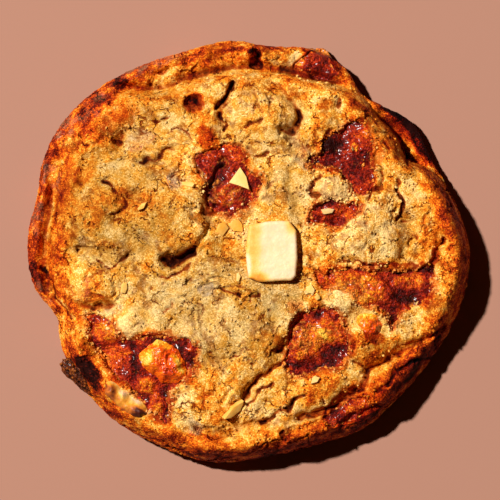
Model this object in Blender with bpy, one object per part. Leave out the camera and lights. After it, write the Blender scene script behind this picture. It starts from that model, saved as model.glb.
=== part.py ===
"""A large bakery cookie with toffee baked into it, a slab of white chocolate on top and a
craggy, two-stepped edge: the crown of dough has slumped inside a lower, darker skirt.

Lengths below are millimetres and angles are degrees; MM turns them into metres when a mesh
is made. The origin is the middle of the flat underside, +Z is up through the crown, +Y is
the side where the skirt shows as a ledge, and +X is to its right.
"""

import math

import bmesh
import bpy
import numpy as np
from mathutils import Matrix, Vector

MM = 0.001

# --- driving dimensions -------------------------------------------------------------------
CROWN_TOP = 16.0          # height of the crown's plain dome in the middle, before its lumps
CROWN_FALL = 6.2          # how much lower the dome is at the rim
BULGE_HEIGHT = 3.4        # height at which the side is widest
BASE_TUCK = 3.0           # how far the underside's edge lies inside the widest line
WAIST_PULL = 0.4          # how far the side draws in between its widest line and the tray
SKIRT_ROUND = 2.4         # width of the skirt's rounded edge
STEP_BLEND = 0.7          # how softly crown and skirt run together
BEAD_INSET = 3.3          # how far inside the crown's edge the raised bead runs
BEAD_WIDTH = 2.1
CREVICE_DEPTH = 1.7       # groove where the crown meets the ledge
CREVICE_WIDTH = 1.1
CREVICE_OFFSET = 0.3      # how far outside the crown's edge the groove lies
CREVICE_FROM = 2.0        # a ledge narrower than this has no groove
RELIEF_FADE = 0.05        # share of the radius over which relief dies away at the widest line
GAP = 0.3                 # between neighbouring pieces

# Radius of the outline at angles counted anticlockwise from +X.
OUTLINE = (
    (0, 50.2), (12, 48.4), (26, 46.3), (39, 46.9), (47, 44.8), (55, 44.0), (61, 46.5),
    (73, 47.7), (84, 46.6), (95, 47.8), (108, 47.5), (121, 48.7), (136, 50.6), (148, 51.4),
    (158, 50.9), (165, 49.8), (177, 50.4), (190, 49.5), (199.5, 46.4), (207, 48.0),
    (220, 49.0), (232, 49.4), (245, 48.9), (258, 49.1), (275, 47.2), (290, 47.0),
    (303, 48.2), (316, 47.8), (330, 48.4), (345, 49.8),
)
# Width of the crown's rounded edge, at the same kind of angles.
CROWN_ROUND = (
    (0, 2.6), (14, 2.4), (30, 3.0), (60, 3.2), (100, 3.6), (130, 5.4), (150, 7.0), (180, 6.6),
    (210, 5.0), (240, 3.6), (270, 2.9), (300, 3.4), (330, 3.2),
)
# Height of the raised bead that runs along the rim.
BEAD = (
    (0, 2.0), (12, 2.8), (22, 2.6), (38, 1.4), (55, 0.8), (90, 0.3), (140, 0.3), (175, 0.5),
    (200, 0.9), (225, 1.1), (245, 1.5), (268, 1.9), (285, 1.7), (305, 0.7), (330, 0.7),
    (345, 1.4),
)
# Height of the skirt where the crown leaves it bare.
SKIRT_TOP = (
    (0, 6.0), (20, 5.0), (34, 4.2), (48, 5.0), (60, 7.2), (75, 8.2), (125, 8.4),
    (145, 7.4), (165, 6.8), (190, 6.6), (210, 7.4), (270, 8.0),
)
# Width of the ledge that the crown leaves bare.
LEDGE = (
    (-15, 0.5), (0, 0.5), (16, 0.6), (24, 1.4), (30, 4.8), (38, 4.5), (46, 2.8), (55, 0.5),
    (62, 4.0), (70, 6.2), (83, 5.4), (96, 6.8), (108, 6.4), (120, 6.8), (127, 3.6),
    (133, 1.2), (148, 1.2), (162, 3.6), (177, 4.4), (190, 3.4), (199, 1.0), (210, 0.5),
    (270, 0.5),
)

# Swellings of the crown: x, y, half length, half width, tilt, height.
LUMPS = (
    (-24, 9, 19, 14, 0, 1.4),
    (-17, 8, 9.5, 10, 20, 2.6),
    (-32, 10, 9, 10, 0, 1.6),
    (3, 31, 9.5, 8, -15, 2.3),
    (15, 26, 6, 6, 0, 1.7),
    (28, 2.6, 8.6, 6.6, -10, 2.6),
    (-34.5, -7.5, 7, 6, 20, 2.2),
    (-9, -33, 9.5, 8.6, 10, 2.3),
    (-27, -16.6, 4.2, 3.2, 10, 1.5),
    (19, 14, 4, 3.4, -20, 1.4),
    (20.5, -11.5, 4, 3.2, -30, 1.5),
    (26.5, -21, 5, 6, 20, 1.6),
    (29.5, -31, 4.5, 5, 40, 1.7),
    (-38, -21.5, 3.4, 4.4, 20, 1.5),
    (-37.5, 22, 7, 10, -35, 0.9),
    (13, -33, 10, 4, 25, 1.1),
    (22, 31, 10, 5, -35, 0.9),
    (41, -12, 4, 8, -10, 1.0),
    (-12, -14, 12, 9, 0, -0.7),
)
LUMP_POWER = 1.0          # 1 leaves a crease round each swelling, more fades it out
PIT_POWER = 1.5
# Cracks and folds: depth, half width, then the line they follow.
CREASES = (
    (1.4, 0.8, ((-7.6, 10), (-8.6, 6.6), (-9.2, 3.6), (-11.2, 1), (-13, -0.4))),
    (3.0, 1.15, ((-12.2, -0.6), (-14.4, -1.7), (-17, -2.7), (-19.6, -2.5))),
    (1.3, 1.0, ((-40, 0), (-35, -0.6), (-31, -2), (-27, -2))),
    (1.1, 1.2, ((-38.5, 13), (-37, 18), (-34, 21.4), (-30, 22))),
    (1.9, 1.0, ((-38.5, -12), (-35, -13.6), (-31, -12.4))),
    (1.6, 1.0, ((5, 37.5), (8.5, 35.5), (11, 30.5), (9, 26.5))),
    (1.0, 1.6, ((12, 31), (10, 25), (11, 20), (9, 14), (13, 8))),
    (1.2, 1.3, ((35, 8), (37, 3), (34.5, -1.5))),
    (0.7, 0.6, ((37, 19), (39.5, 14), (41.5, 8), (43, 3))),
    (1.6, 0.7, ((43.4, 2.6), (42.2, 0), (41.8, -3), (41, -5))),
    (2.0, 0.9, ((11, -37.4), (16, -36.8), (19, -35.4), (22, -32.8), (25.6, -31), (26.6, -28))),
    (1.8, 0.8, ((27, -26.8), (30, -25.4), (34, -22.8), (39, -20), (46, -16.2))),
    (1.3, 0.8, ((21.4, -39.4), (25, -37.8), (29, -35.2))),
    (1.3, 0.8, ((6.4, -43.4), (10, -41.2), (14, -39.6), (17, -38))),
    (1.5, 1.2, ((-11, -39.5), (-7, -41.6), (0, -40), (4, -38.6))),
    (1.5, 0.8, ((12.6, -15), (10.8, -17.4), (8.8, -20.6), (7.4, -23))),
    (1.0, 1.2, ((-3, -36), (0, -31), (4, -28), (7.4, -23))),
    (1.7, 0.9, ((-9.4, 8.6), (-9.8, 10.6), (-9, 13.8), (-7.4, 16.6), (-5.6, 19), (-5.4, 20.8))),
    (1.5, 1.0, ((-3.5, 37), (-5.5, 33), (-6.4, 29))),
    (1.0, 1.0, ((-24.5, 20), (-20, 20.4), (-15, 23.5))),
    (1.0, 0.8, ((-43, -13), (-41.4, -14.6), (-38.6, -16))),
    (1.0, 0.9, ((-29, 12), (-28.6, 8), (-31, 6.5))),
)
# Pits and torn holes: x, y, half length, half width, tilt, depth.
PITS = (
    (-12, 33, 2.6, 1.7, 35, 2.4),
    (-28.5, 24.5, 1.4, 2.3, 15, 2.0),
    (-47.6, -4.5, 1.4, 1.0, 0, 1.2),
    (-31, 15.5, 1.5, 1.0, 0, 0.9),
    (-5.6, 19, 1.2, 1.2, 0, 0.8),
    (2, 44, 1.0, 3.4, 0, 2.2),
    (-20, 40.6, 3.0, 1.0, 25, 1.5),
    (43.4, 2.4, 0.9, 0.7, 20, 1.0),
    (-12.5, -39.2, 1.7, 1.1, -30, 0.8),
)

# Toffee that melted and set in the dough: the line round each pool.
POOLS = {
    "toffee_northwest": (
        (-12.4, 20.6), (-8.6, 22.6), (-3.6, 24), (-1, 22), (-0.2, 18.8), (2.8, 16.2),
        (1.4, 11.4), (-4.4, 7.6), (-9.4, 9.6), (-9.4, 15.2),
    ),
    "toffee_northeast": (
        (12.8, 19.2), (15.6, 22), (17.8, 26), (22.6, 28.8), (27.2, 28), (27.6, 21.6),
        (28, 14), (24.8, 12.2), (22.6, 15), (20.2, 17.6), (16.6, 18.6),
    ),
    "toffee_middle": (
        (13.4, 7), (15.2, 10.2), (19.2, 10.8), (22.4, 9.8), (25.4, 9.6), (24.2, 7.4),
        (21.8, 6.6), (19.8, 4.6), (17.2, 5.8),
    ),
    "toffee_east": (
        (14.8, -5), (22, -4.4), (31, -4.4), (38.4, -3.8), (41.6, -4.8), (41.2, -11.2),
        (36, -12.8), (34, -15.6), (32.6, -18.2), (31.4, -15.4), (28.4, -13), (24.8, -12.4),
        (22.4, -8.8), (16.4, -8.2),
    ),
    "toffee_southeast": (
        (8.4, -21.6), (11, -15.4), (17.4, -13), (22, -16.4), (22.8, -24), (17.6, -27),
        (10.4, -28.4), (7.2, -25.4),
    ),
    "toffee_southwest": (
        (-36.8, -15.4), (-31.4, -16), (-27.6, -20), (-20, -18.6), (-11, -22), (-13, -28),
        (-17.4, -31.4), (-18, -38.8), (-21.4, -37.6), (-26.6, -32), (-32.6, -25.6),
    ),
    "toffee_south": (
        (16.6, -38.8), (18.8, -36.2), (23, -33.4), (27.6, -33), (27.8, -35.8), (23.4, -38.8),
        (18.2, -40),
    ),
    "toffee_north": (
        (10.8, 40.6), (12.4, 44.4), (15.6, 44.4), (19.4, 42), (20.2, 39.6), (16, 38.8),
    ),
}
POOL_DEPTH = 2.1          # how deep the dough dips under a pool
POOL_BANK = 1.7           # width of the bank round it
POOL_LEVEL = 1.0          # how far the toffee lies below the dough round it
POOL_SKIN = 0.45          # least thickness of the toffee, on the banks
POOL_MARGIN = 0.25        # how far inside its line the toffee stops

# Pieces that lie on a pool or in the rim: outline, height over the bed, width of the bank.
NUGGET_LINE = (
    (-24.6, -24), (-23.6, -21.8), (-20.6, -20.4), (-17.4, -21.8), (-14.4, -25.2),
    (-14.2, -28.2), (-16.8, -30.4), (-20.4, -29.2), (-23.6, -26.8),
)
NUGGET_RISE = 2.6
NUGGET_BANK = 3.2
NUB_LINE = ((23.8, -15.6), (26, -14.2), (29, -14.8), (30.4, -17), (29.4, -19.2), (26.6, -19.2))
NUB_RISE = 1.9
NUB_BANK = 2.4
CREAM_LINE = (
    (-32.8, -30.8), (-31.2, -29.2), (-27.6, -31.6), (-23.8, -34.8), (-22.6, -37.2),
    (-25.4, -38), (-29, -35.6), (-32, -33),
)
CREAM_RISE = 2.3
CREAM_BANK = 2.4
BED_DEPTH = 1.2           # how deep the dough dips under the nub and the rim's chocolate
PIECE_EDGE = 0.5          # thickness of such a piece at its edge

# The slab of white chocolate pressed into the middle.
SLAB_LINE = (
    (-0.1, -6.3), (2.4, -7.2), (9.6, -6.9), (10.6, -5.9), (10.9, -1.0), (10.7, 4.4),
    (9.1, 6.6), (4.4, 6.4), (-0.1, 5.6), (-0.8, -1.2),
)
SLAB_HEIGHT = 8.0
SLAB_PROUD = 1.5          # how far it stands out of the dough
SLAB_EDGE = 0.5           # rounding of its edges
SLAB_EDGE_STEPS = 3

# Burnt toffee that boiled out of the rim: middle, half sizes, and turn.
BLOB_PLACE = (-37.0, -28.9, 6.4)
BLOB_SIZE = (5.6, 2.4, 2.6)
BLOB_TURN = -40
BLOB_ROUGH = 0.24         # how lumpy it is, as a share of its size
BLOB_CELL = 0.7           # size of those lumps on a ball of radius 1
BLOB_SEED = 23
BLOB_DIVISIONS = 3

# Flakes of white chocolate and nut on the crown: x, y, length, width, tilt.
FLAKES = (
    (-6.0, 5.0, 3.2, 2.2, 70),
    (-2.6, 5.4, 3.6, 2.8, 20),
    (-13.5, 14.6, 2.7, 1.5, -5),
    (-24.0, 9.8, 3.2, 1.1, 35),
    (-28.0, -8.3, 3.0, 1.7, 65),
    (-3.5, -36.0, 5.0, 2.6, 50),
    (13.8, -8.9, 2.3, 2.0, 0),
    (15.4, -10.6, 1.6, 1.4, 40),
    (14.8, -29.3, 2.4, 1.7, 30),
    (-2.4, -6.2, 2.6, 0.9, 80),
)
# The ones that lie on a pool, by its name.
POOL_FLAKES = {
    "toffee_northwest": (-1.9, 15.6, 4.6, 3.7, 75),
    "toffee_middle": (17.6, 8.9, 3.0, 1.2, 12),
}
FLAKE_CORNERS = 5
FLAKE_SKEW = 16           # how far a corner may turn out of its even place
FLAKE_REACH = (0.82, 1.12)
FLAKE_PROUD = 0.6
FLAKE_SUNK = 0.9
POOL_FLAKE_SUNK = 0.35

# Mesh density and the seeded relief.
TOP_RINGS = 35
WALL_RINGS = 0.2          # share of the rings that go down the steep edge
WALL_WIDTH = 0.09         # share of the radius that the steep edge takes up
SIDE_RINGS = 4
SHARP_ANGLE = 50
LINE_STEPS = 6            # points made between two corners of a smooth line
LATTICE = 32
DOME_NOISE = ((11.0, 0.7, 3), (5.0, 0.7, 5), (2.9, 0.46, 7))   # cell, height, seed
SKIRT_NOISE = ((5.0, 1.0, 17), (2.6, 0.6, 19))
SIDE_NOISE = ((9.0, 0.7, 11), (4.0, 0.45, 13))


# --- lines, noise and distances -----------------------------------------------------------
def around(pairs, angle):
    """Value of a smooth closed curve through (angle, value) pairs, read at each angle."""
    at = np.array([a for a, _ in pairs], float)
    value = np.array([v for _, v in pairs], float)
    at = np.concatenate([at[-2:] - 360, at, at[:2] + 360])
    value = np.concatenate([value[-2:], value, value[:2]])
    slope = np.gradient(value, at)
    angle = np.mod(angle - at[2], 360) + at[2]
    i = np.searchsorted(at, angle, side="right") - 1
    span = at[i + 1] - at[i]
    t = (angle - at[i]) / span
    rise = value[i + 1] - value[i]
    bend = (slope[i] * span * (1 - t) - slope[i + 1] * span * t + rise * (2 * t - 1)) * t * (1 - t)
    return value[i] + rise * t + bend


def smooth_line(corners):
    """Closed line through the corners, rounded by a Catmull-Rom curve."""
    p = np.array(corners, float)
    before, after, beyond = np.roll(p, 1, 0), np.roll(p, -1, 0), np.roll(p, -2, 0)
    steps = []
    for t in np.arange(LINE_STEPS) / LINE_STEPS:
        pull = (after - before) * t + (2 * before - 5 * p + 4 * after - beyond) * t**2
        steps.append(p + 0.5 * (pull + (3 * p - before - 3 * after + beyond) * t**3))
    return np.stack(steps, axis=1).reshape(-1, 2)


def distance_to(x, y, line, closed=False):
    """Shortest distance from each point to a line through the given points."""
    p = np.array(line, float)
    ends = np.roll(p, -1, 0) if closed else p[1:]
    best = np.full(np.shape(x), np.inf)
    for (ax, ay), (bx, by) in zip(p, ends):
        dx, dy = bx - ax, by - ay
        t = np.clip(((x - ax) * dx + (y - ay) * dy) / (dx * dx + dy * dy), 0, 1)
        best = np.minimum(best, np.hypot(x - ax - t * dx, y - ay - t * dy))
    return best


def inside_distance(x, y, line):
    """How far each point lies inside a closed line; negative outside it."""
    inside = np.zeros(np.shape(x), bool)
    for (ax, ay), (bx, by) in zip(line, np.roll(line, -1, 0)):
        crosses = (ay > y) != (by > y)
        where = ax + (y - ay) * (bx - ax) / np.where(by == ay, 1, by - ay)
        inside ^= crosses & (x < where)
    return np.where(inside, 1, -1) * distance_to(x, y, line, closed=True)


def noise(x, y, z, cell, seed):
    """Smooth seeded noise between -1 and 1, with bumps about one cell wide."""
    knots = np.random.default_rng(seed).uniform(-1, 1, (LATTICE,) * 3)
    total = 0
    place = [np.asarray(axis) / cell for axis in np.broadcast_arrays(x, y, z)]
    low = [np.floor(axis).astype(int) for axis in place]
    share = [axis - base for axis, base in zip(place, low)]
    share = [t * t * (3 - 2 * t) for t in share]
    for corner in np.ndindex(2, 2, 2):
        weight, index = 1, []
        for side, t, base in zip(corner, share, low):
            weight = weight * (t if side else 1 - t)
            index.append((base + side) % LATTICE)
        total = total + weight * knots[tuple(index)]
    return total


def blend_up(value, width):
    """0 at or below nothing, 1 from width on, with a smooth rise between."""
    t = np.clip(value / width, 0, 1)
    return t * t * (3 - 2 * t)


def mound(x, y, at_x, at_y, half_length, half_width, tilt, power):
    """1 in the middle of an oval swelling, falling to 0 at its edge."""
    c, s = math.cos(math.radians(tilt)), math.sin(math.radians(tilt))
    u = ((x - at_x) * c + (y - at_y) * s) / half_length
    v = ((y - at_y) * c - (x - at_x) * s) / half_width
    return np.clip(1 - u * u - v * v, 0, 1) ** power


def shoulder(depth, width):
    """0 at an edge, 1 from the given width inside it, round like a quarter of an ellipse."""
    return np.sqrt(np.clip(1 - (1 - np.clip(depth / width, 0, 1)) ** 2, 0, 1))


# --- the form of the dough ----------------------------------------------------------------
def body_height(x, y):
    """The dome, its swellings and the lower skirt, before anything is cut or bedded in them."""
    angle, r = np.degrees(np.arctan2(y, x)), np.hypot(x, y)
    outline = around(OUTLINE, angle)
    crown_edge = outline - around(LEDGE, angle)
    dome = CROWN_TOP - CROWN_FALL * (r / outline) ** 2
    for cell, height, seed in DOME_NOISE:
        dome = dome + height * noise(x, y, 0, cell, seed)
    for lump in LUMPS:
        dome = dome + lump[5] * mound(x, y, *lump[:5], LUMP_POWER)
    off_bead = (crown_edge - r - BEAD_INSET) / BEAD_WIDTH
    dome = dome + around(BEAD, angle) * np.exp(-(off_bead**2))
    edge = shoulder(crown_edge - r, around(CROWN_ROUND, angle))
    crown = BULGE_HEIGHT + (dome - BULGE_HEIGHT) * edge
    lobes = around(SKIRT_TOP, angle)
    for cell, height, seed in SKIRT_NOISE:
        lobes = lobes + height * noise(x, y, 0, cell, seed)
    skirt = BULGE_HEIGHT + (lobes - BULGE_HEIGHT) * shoulder(outline - r, SKIRT_ROUND)
    t = np.clip(0.5 + 0.5 * (crown - skirt) / STEP_BLEND, 0, 1)
    return skirt + (crown - skirt) * t + STEP_BLEND * t * (1 - t)


def cut_depth(x, y):
    """Depth of folds, cracks and pits, fading out at the widest line of the side."""
    angle, r = np.degrees(np.arctan2(y, x)), np.hypot(x, y)
    outline = around(OUTLINE, angle)
    crown_edge = outline - around(LEDGE, angle)
    fade = blend_up(1 - r / outline, RELIEF_FADE)
    ledge = blend_up(outline - crown_edge - CREVICE_FROM, CREVICE_FROM)
    off_crevice = (r - crown_edge - CREVICE_OFFSET) / CREVICE_WIDTH
    cut = CREVICE_DEPTH * ledge * np.exp(-(off_crevice**2))
    for depth, half_width, line in CREASES:
        cut = cut + depth * np.exp(-((distance_to(x, y, line) / half_width) ** 2))
    for pit in PITS:
        cut = cut + pit[5] * mound(x, y, *pit[:5], PIT_POWER)
    return cut * fade


def plain_height(x, y):
    """The upper surface with its lumps and folds, before anything is bedded in it."""
    return body_height(x, y) - cut_depth(x, y)


def dough_height(x, y):
    """The upper surface with the beds of the toffee and of the two pieces in the rim."""
    bed = 0
    for corners in POOLS.values():
        depth = inside_distance(x, y, smooth_line(corners))
        bed = np.maximum(bed, POOL_DEPTH * blend_up(depth, POOL_BANK))
    for corners in (NUB_LINE, CREAM_LINE):
        depth = inside_distance(x, y, smooth_line(corners))
        bed = np.maximum(bed, BED_DEPTH * blend_up(depth, POOL_BANK))
    return plain_height(x, y) - bed


def ring_angles(count):
    return np.arange(count) * 360.0 / count


def ring_reach(share):
    """Radius of a ring: even on top, then closer and closer down the steep edge."""
    if share < 1 - WALL_RINGS:
        return share / (1 - WALL_RINGS) * (1 - WALL_WIDTH)
    down = (share - 1 + WALL_RINGS) / WALL_RINGS
    return 1 - WALL_WIDTH + WALL_WIDTH * math.sin(down * math.pi / 2)


def top_grid():
    """Points and triangles of a round net: ring k has 6k points, so all triangles are alike."""
    xs, ys, faces, start = [0.0], [0.0], [], [0]
    for k in range(1, TOP_RINGS + 1):
        angle = ring_angles(6 * k)
        r = ring_reach(k / TOP_RINGS) * around(OUTLINE, angle)
        start.append(len(xs))
        xs.extend(r * np.cos(np.radians(angle)))
        ys.extend(r * np.sin(np.radians(angle)))
        for side in range(6):
            for j in range(k):
                outer = start[k] + side * k + j
                after = start[k] + (side * k + j + 1) % (6 * k)
                inner = start[k - 1] + (side * (k - 1) + j) % max(6 * (k - 1), 1)
                faces.append((inner, outer, after))
                if j < k - 1:
                    beside = start[k - 1] + (side * (k - 1) + j + 1) % (6 * (k - 1))
                    faces.append((inner, after, beside))
    return np.array(xs), np.array(ys), faces, start[-1]


def side_relief(x, y, z):
    push = 0
    for cell, height, seed in SIDE_NOISE:
        push = push + height * noise(x, y, z, cell, seed)
    return push


def dough_mesh(xs, ys, zs, faces, rim):
    """The closed dough: the upper surface, a side that rolls under, and one flat underside."""
    points = list(zip(xs, ys, zs))
    faces = list(faces)
    count = 6 * TOP_RINGS
    edge_x, edge_y, edge_z = xs[rim:], ys[rim:], zs[rim:]
    reach = np.hypot(edge_x, edge_y)
    upper = rim
    for k in range(1, SIDE_RINGS + 1):
        turn = math.radians(90 * k / SIDE_RINGS)
        z = edge_z * (1 - math.sin(turn))
        share = 1 - BASE_TUCK * (1 - math.cos(turn)) / reach
        x, y = edge_x * share, edge_y * share
        push = side_relief(x, y, z) * math.sin(turn) ** 2 - WAIST_PULL * math.sin(2 * turn)
        share = 1 + push / reach
        lower = len(points)
        points.extend(zip(x * share, y * share, z))
        for j in range(count):
            a, b = upper + j, upper + (j + 1) % count
            c, d = lower + (j + 1) % count, lower + j
            faces.extend(((a, c, b), (a, d, c)))
        upper = lower
    faces.append(tuple(range(upper + count - 1, upper - 1, -1)))
    return points, faces


# --- building objects ---------------------------------------------------------------------
def material(name, colour, roughness):
    made = bpy.data.materials.new(name)
    made.use_nodes = True
    shader = made.node_tree.nodes["Principled BSDF"]
    shader.inputs["Base Color"].default_value = (*colour, 1)
    shader.inputs["Roughness"].default_value = roughness
    shader.inputs["Metallic"].default_value = 0
    made.diffuse_color = (*colour, 1)
    return made


def add_object(name, mesh, finish, collection=None):
    mesh.materials.append(finish)
    mesh.shade_smooth()
    mesh.set_sharp_from_angle(angle=math.radians(SHARP_ANGLE))
    made = bpy.data.objects.new(name, mesh)
    (collection or bpy.context.scene.collection).objects.link(made)
    return made


def mesh_from(name, points, faces):
    mesh = bpy.data.meshes.new(name)
    mesh.from_pydata([(x * MM, y * MM, z * MM) for x, y, z in points], [], faces)
    mesh.validate()
    return mesh


def largest_patch(faces):
    """The largest set of faces that hang together by their edges."""
    by_edge = {}
    for index, face in enumerate(faces):
        for a, b in zip(face, face[1:] + face[:1]):
            by_edge.setdefault(frozenset((a, b)), []).append(index)
    left, best = set(range(len(faces))), []
    while left:
        group, queue = [], [left.pop()]
        while queue:
            index = queue.pop()
            group.append(index)
            face = faces[index]
            for a, b in zip(face, face[1:] + face[:1]):
                for other in by_edge[frozenset((a, b))]:
                    if other in left:
                        left.remove(other)
                        queue.append(other)
        best = max(best, group, key=len)
    return [faces[index] for index in sorted(best)]


def patch_mesh(name, net, line, floor, roof, margin=0.0):
    """A closed piece on part of the net: its lower face follows floor, its upper one roof."""
    xs, ys, faces = net
    depth = inside_distance(xs, ys, smooth_line(line))
    chosen = largest_patch([face for face in faces if min(depth[i] for i in face) > margin])
    used = sorted({i for face in chosen for i in face})
    low = {i: k for k, i in enumerate(used)}
    high = {i: k + len(used) for k, i in enumerate(used)}
    points = [(xs[i], ys[i], floor[i]) for i in used] + [(xs[i], ys[i], roof[i]) for i in used]
    made = [tuple(high[i] for i in face) for face in chosen]
    made += [tuple(low[i] for i in reversed(face)) for face in chosen]
    edges = {(a, b) for face in chosen for a, b in zip(face, face[1:] + face[:1])}
    for a, b in sorted(edges):
        if (b, a) not in edges:
            made.append((low[a], low[b], high[b], high[a]))
    return mesh_from(name, points, made)


def swollen_patch(name, net, line, floor, rise, bank):
    """A patch that is PIECE_EDGE thick at its line and swells by rise inside the bank."""
    xs, ys, _ = net
    swell = rise * blend_up(inside_distance(xs, ys, smooth_line(line)), bank)
    return patch_mesh(name, net, line, floor, floor + PIECE_EDGE + swell)


def prism(name, line, low, high, edge=0.0):
    """An upright block over a line, with its edges rounded by edge."""
    mesh = bpy.data.meshes.new(name)
    shape = bmesh.new()
    corners = [shape.verts.new((x * MM, y * MM, low * MM)) for x, y in line]
    base = shape.faces.new(corners)
    grown = bmesh.ops.extrude_face_region(shape, geom=[base])
    raised = [item for item in grown["geom"] if isinstance(item, bmesh.types.BMVert)]
    bmesh.ops.translate(shape, verts=raised, vec=(0, 0, (high - low) * MM))
    if edge:
        bmesh.ops.bevel(
            shape, geom=shape.edges[:], offset=edge * MM, segments=SLAB_EDGE_STEPS,
            profile=0.5, affect="EDGES",
        )
    bmesh.ops.recalc_face_normals(shape, faces=shape.faces)
    shape.to_mesh(mesh)
    shape.free()
    return mesh


def grown_line(line, gap):
    """The line with each corner moved outward so that its sides lie gap further out."""
    p = np.array(line, float)
    along = np.roll(p, -1, 0) - p
    along /= np.linalg.norm(along, axis=1)[:, None]
    outward = np.stack([along[:, 1], -along[:, 0]], axis=1)
    before = np.roll(outward, 1, 0)
    corner = (outward + before) / (1 + (outward * before).sum(1))[:, None]
    return p + gap * corner


def blob_mesh(name, grow=0.0):
    """A lumpy drop: a ball drawn out along the rim and roughened, grown outward by grow."""
    mesh = bpy.data.meshes.new(name)
    shape = bmesh.new()
    bmesh.ops.create_icosphere(shape, subdivisions=BLOB_DIVISIONS, radius=1)
    turn = Matrix.Rotation(math.radians(BLOB_TURN), 3, "Z")
    for vert in shape.verts:
        rough = 1 + BLOB_ROUGH * float(noise(*vert.co, BLOB_CELL, BLOB_SEED))
        vert.co = turn @ Vector([half * rough * axis for half, axis in zip(BLOB_SIZE, vert.co)])
    shape.normal_update()
    places = [vert.co + vert.normal * grow + Vector(BLOB_PLACE) for vert in shape.verts]
    for vert, place in zip(shape.verts, places):
        vert.co = place * MM
    shape.to_mesh(mesh)
    shape.free()
    return mesh


def lean_with(ground, x, y):
    """The turn that lays a flat piece on the slope of the ground at a place."""
    step = 1.0
    there = np.array([x - step, x + step, x, x]), np.array([y, y, y - step, y + step])
    west, east, south, north = ground(*there)
    up = Vector(((west - east) / (2 * step), (south - north) / (2 * step), 1)).normalized()
    return Vector((0, 0, 1)).rotation_difference(up).to_matrix().to_4x4()


def flake_mesh(name, flake, ground, sunk):
    """A chip with uneven corners that leans with the surface under it."""
    x, y, length, width, tilt = flake
    rng = np.random.default_rng(int(1000 + 10 * x + y))
    skew = rng.uniform(-FLAKE_SKEW, FLAKE_SKEW, FLAKE_CORNERS)
    corners = np.radians(ring_angles(FLAKE_CORNERS) + skew)
    reach = rng.uniform(*FLAKE_REACH, FLAKE_CORNERS) / 2
    line = np.stack([np.cos(corners) * reach * length, np.sin(corners) * reach * width], 1)
    mesh = prism(name, line, -sunk, FLAKE_PROUD)
    turn = Matrix.Rotation(math.radians(tilt), 4, "Z")
    place = Vector((x, y, float(ground(np.array(x), np.array(y))))) * MM
    mesh.transform(Matrix.Translation(place) @ lean_with(ground, x, y) @ turn)
    return mesh


def apply_boolean(target, operation, collection):
    """Joins or cuts the target with every object of a collection, and removes them."""
    step = target.modifiers.new(operation.title(), "BOOLEAN")
    step.operation = operation
    step.operand_type = "COLLECTION"
    step.collection = collection
    step.solver = "EXACT"
    graph = bpy.context.evaluated_depsgraph_get()
    made = bpy.data.meshes.new_from_object(target.evaluated_get(graph), depsgraph=graph)
    target.modifiers.clear()
    old, target.data = target.data, made
    made.name = target.name
    bpy.data.meshes.remove(old)
    for helper in list(collection.objects):
        bpy.data.objects.remove(helper)
    bpy.data.collections.remove(collection)


def helpers(name):
    made = bpy.data.collections.new(name)
    bpy.context.scene.collection.children.link(made)
    return made


def centre_on_origin(pieces):
    """Moves every mesh alike, so that the middle of the underside lies on the origin."""
    corners = np.array([vert.co for piece in pieces for vert in piece.data.vertices])
    low, high = corners.min(axis=0), corners.max(axis=0)
    shift = Vector((-(low[0] + high[0]) / 2, -(low[1] + high[1]) / 2, -low[2]))
    for piece in pieces:
        piece.data.transform(Matrix.Translation(shift))


# --- the cookie ---------------------------------------------------------------------------
def main():
    for old in list(bpy.data.objects):
        bpy.data.objects.remove(old)

    crust = material("baked_crust", (0.62, 0.30, 0.075), 0.75)
    toffee = material("set_toffee", (0.22, 0.035, 0.010), 0.22)
    amber = material("amber_toffee", (0.72, 0.19, 0.012), 0.2)
    burnt = material("burnt_toffee", (0.045, 0.009, 0.004), 0.3)
    white = material("white_chocolate", (0.93, 0.74, 0.42), 0.5)

    xs, ys, faces, rim = top_grid()
    net = (xs, ys, faces)
    ground = dough_height(xs, ys)
    bed = ground + GAP
    dough = add_object("dough", mesh_from("dough", *dough_mesh(xs, ys, ground, faces, rim)), crust)

    level = np.maximum(plain_height(xs, ys) - POOL_LEVEL, bed + POOL_SKIN)
    for name, line in POOLS.items():
        add_object(name, patch_mesh(name, net, line, bed, level, POOL_MARGIN), toffee)

    pieces = (
        ("toffee_nugget", NUGGET_LINE, level + GAP, NUGGET_RISE, NUGGET_BANK, amber),
        ("toffee_nub", NUB_LINE, bed, NUB_RISE, NUB_BANK, amber),
        ("white_chocolate_rim", CREAM_LINE, bed, CREAM_RISE, CREAM_BANK, white),
    )
    for name, line, floor, rise, bank, finish in pieces:
        add_object(name, swollen_patch(name, net, line, floor, rise, bank), finish)

    slab_top = float(dough_height(*np.mean(SLAB_LINE, axis=0))) + SLAB_PROUD
    slab_base = slab_top - SLAB_HEIGHT
    slab = prism("slab", SLAB_LINE, slab_base, slab_top, SLAB_EDGE)
    add_object("white_chocolate_slab", slab, white)
    add_object("burnt_toffee_rim", blob_mesh("blob"), burnt)

    cutters = helpers("cutters")
    pocket_line = grown_line(SLAB_LINE, GAP)
    pocket = prism("pocket", pocket_line, slab_base - GAP, CROWN_TOP + SLAB_HEIGHT)
    add_object("pocket", pocket, white, cutters)
    add_object("blob_bed", blob_mesh("blob_bed", GAP), burnt, cutters)
    apply_boolean(dough, "DIFFERENCE", cutters)

    chips = helpers("chips")
    for index, flake in enumerate(FLAKES):
        chip = flake_mesh("chip", flake, dough_height, FLAKE_SUNK)
        add_object(f"chip_{index}", chip, white, chips)
    apply_boolean(dough, "UNION", chips)

    def pool_level(x, y):
        return plain_height(x, y) - POOL_LEVEL

    for name, flake in POOL_FLAKES.items():
        chips = helpers("pool_chips")
        chip = flake_mesh("chip", flake, pool_level, POOL_FLAKE_SUNK)
        add_object("pool_chip", chip, white, chips)
        apply_boolean(bpy.data.objects[name], "UNION", chips)

    centre_on_origin(list(bpy.context.scene.objects))


main()
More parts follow.
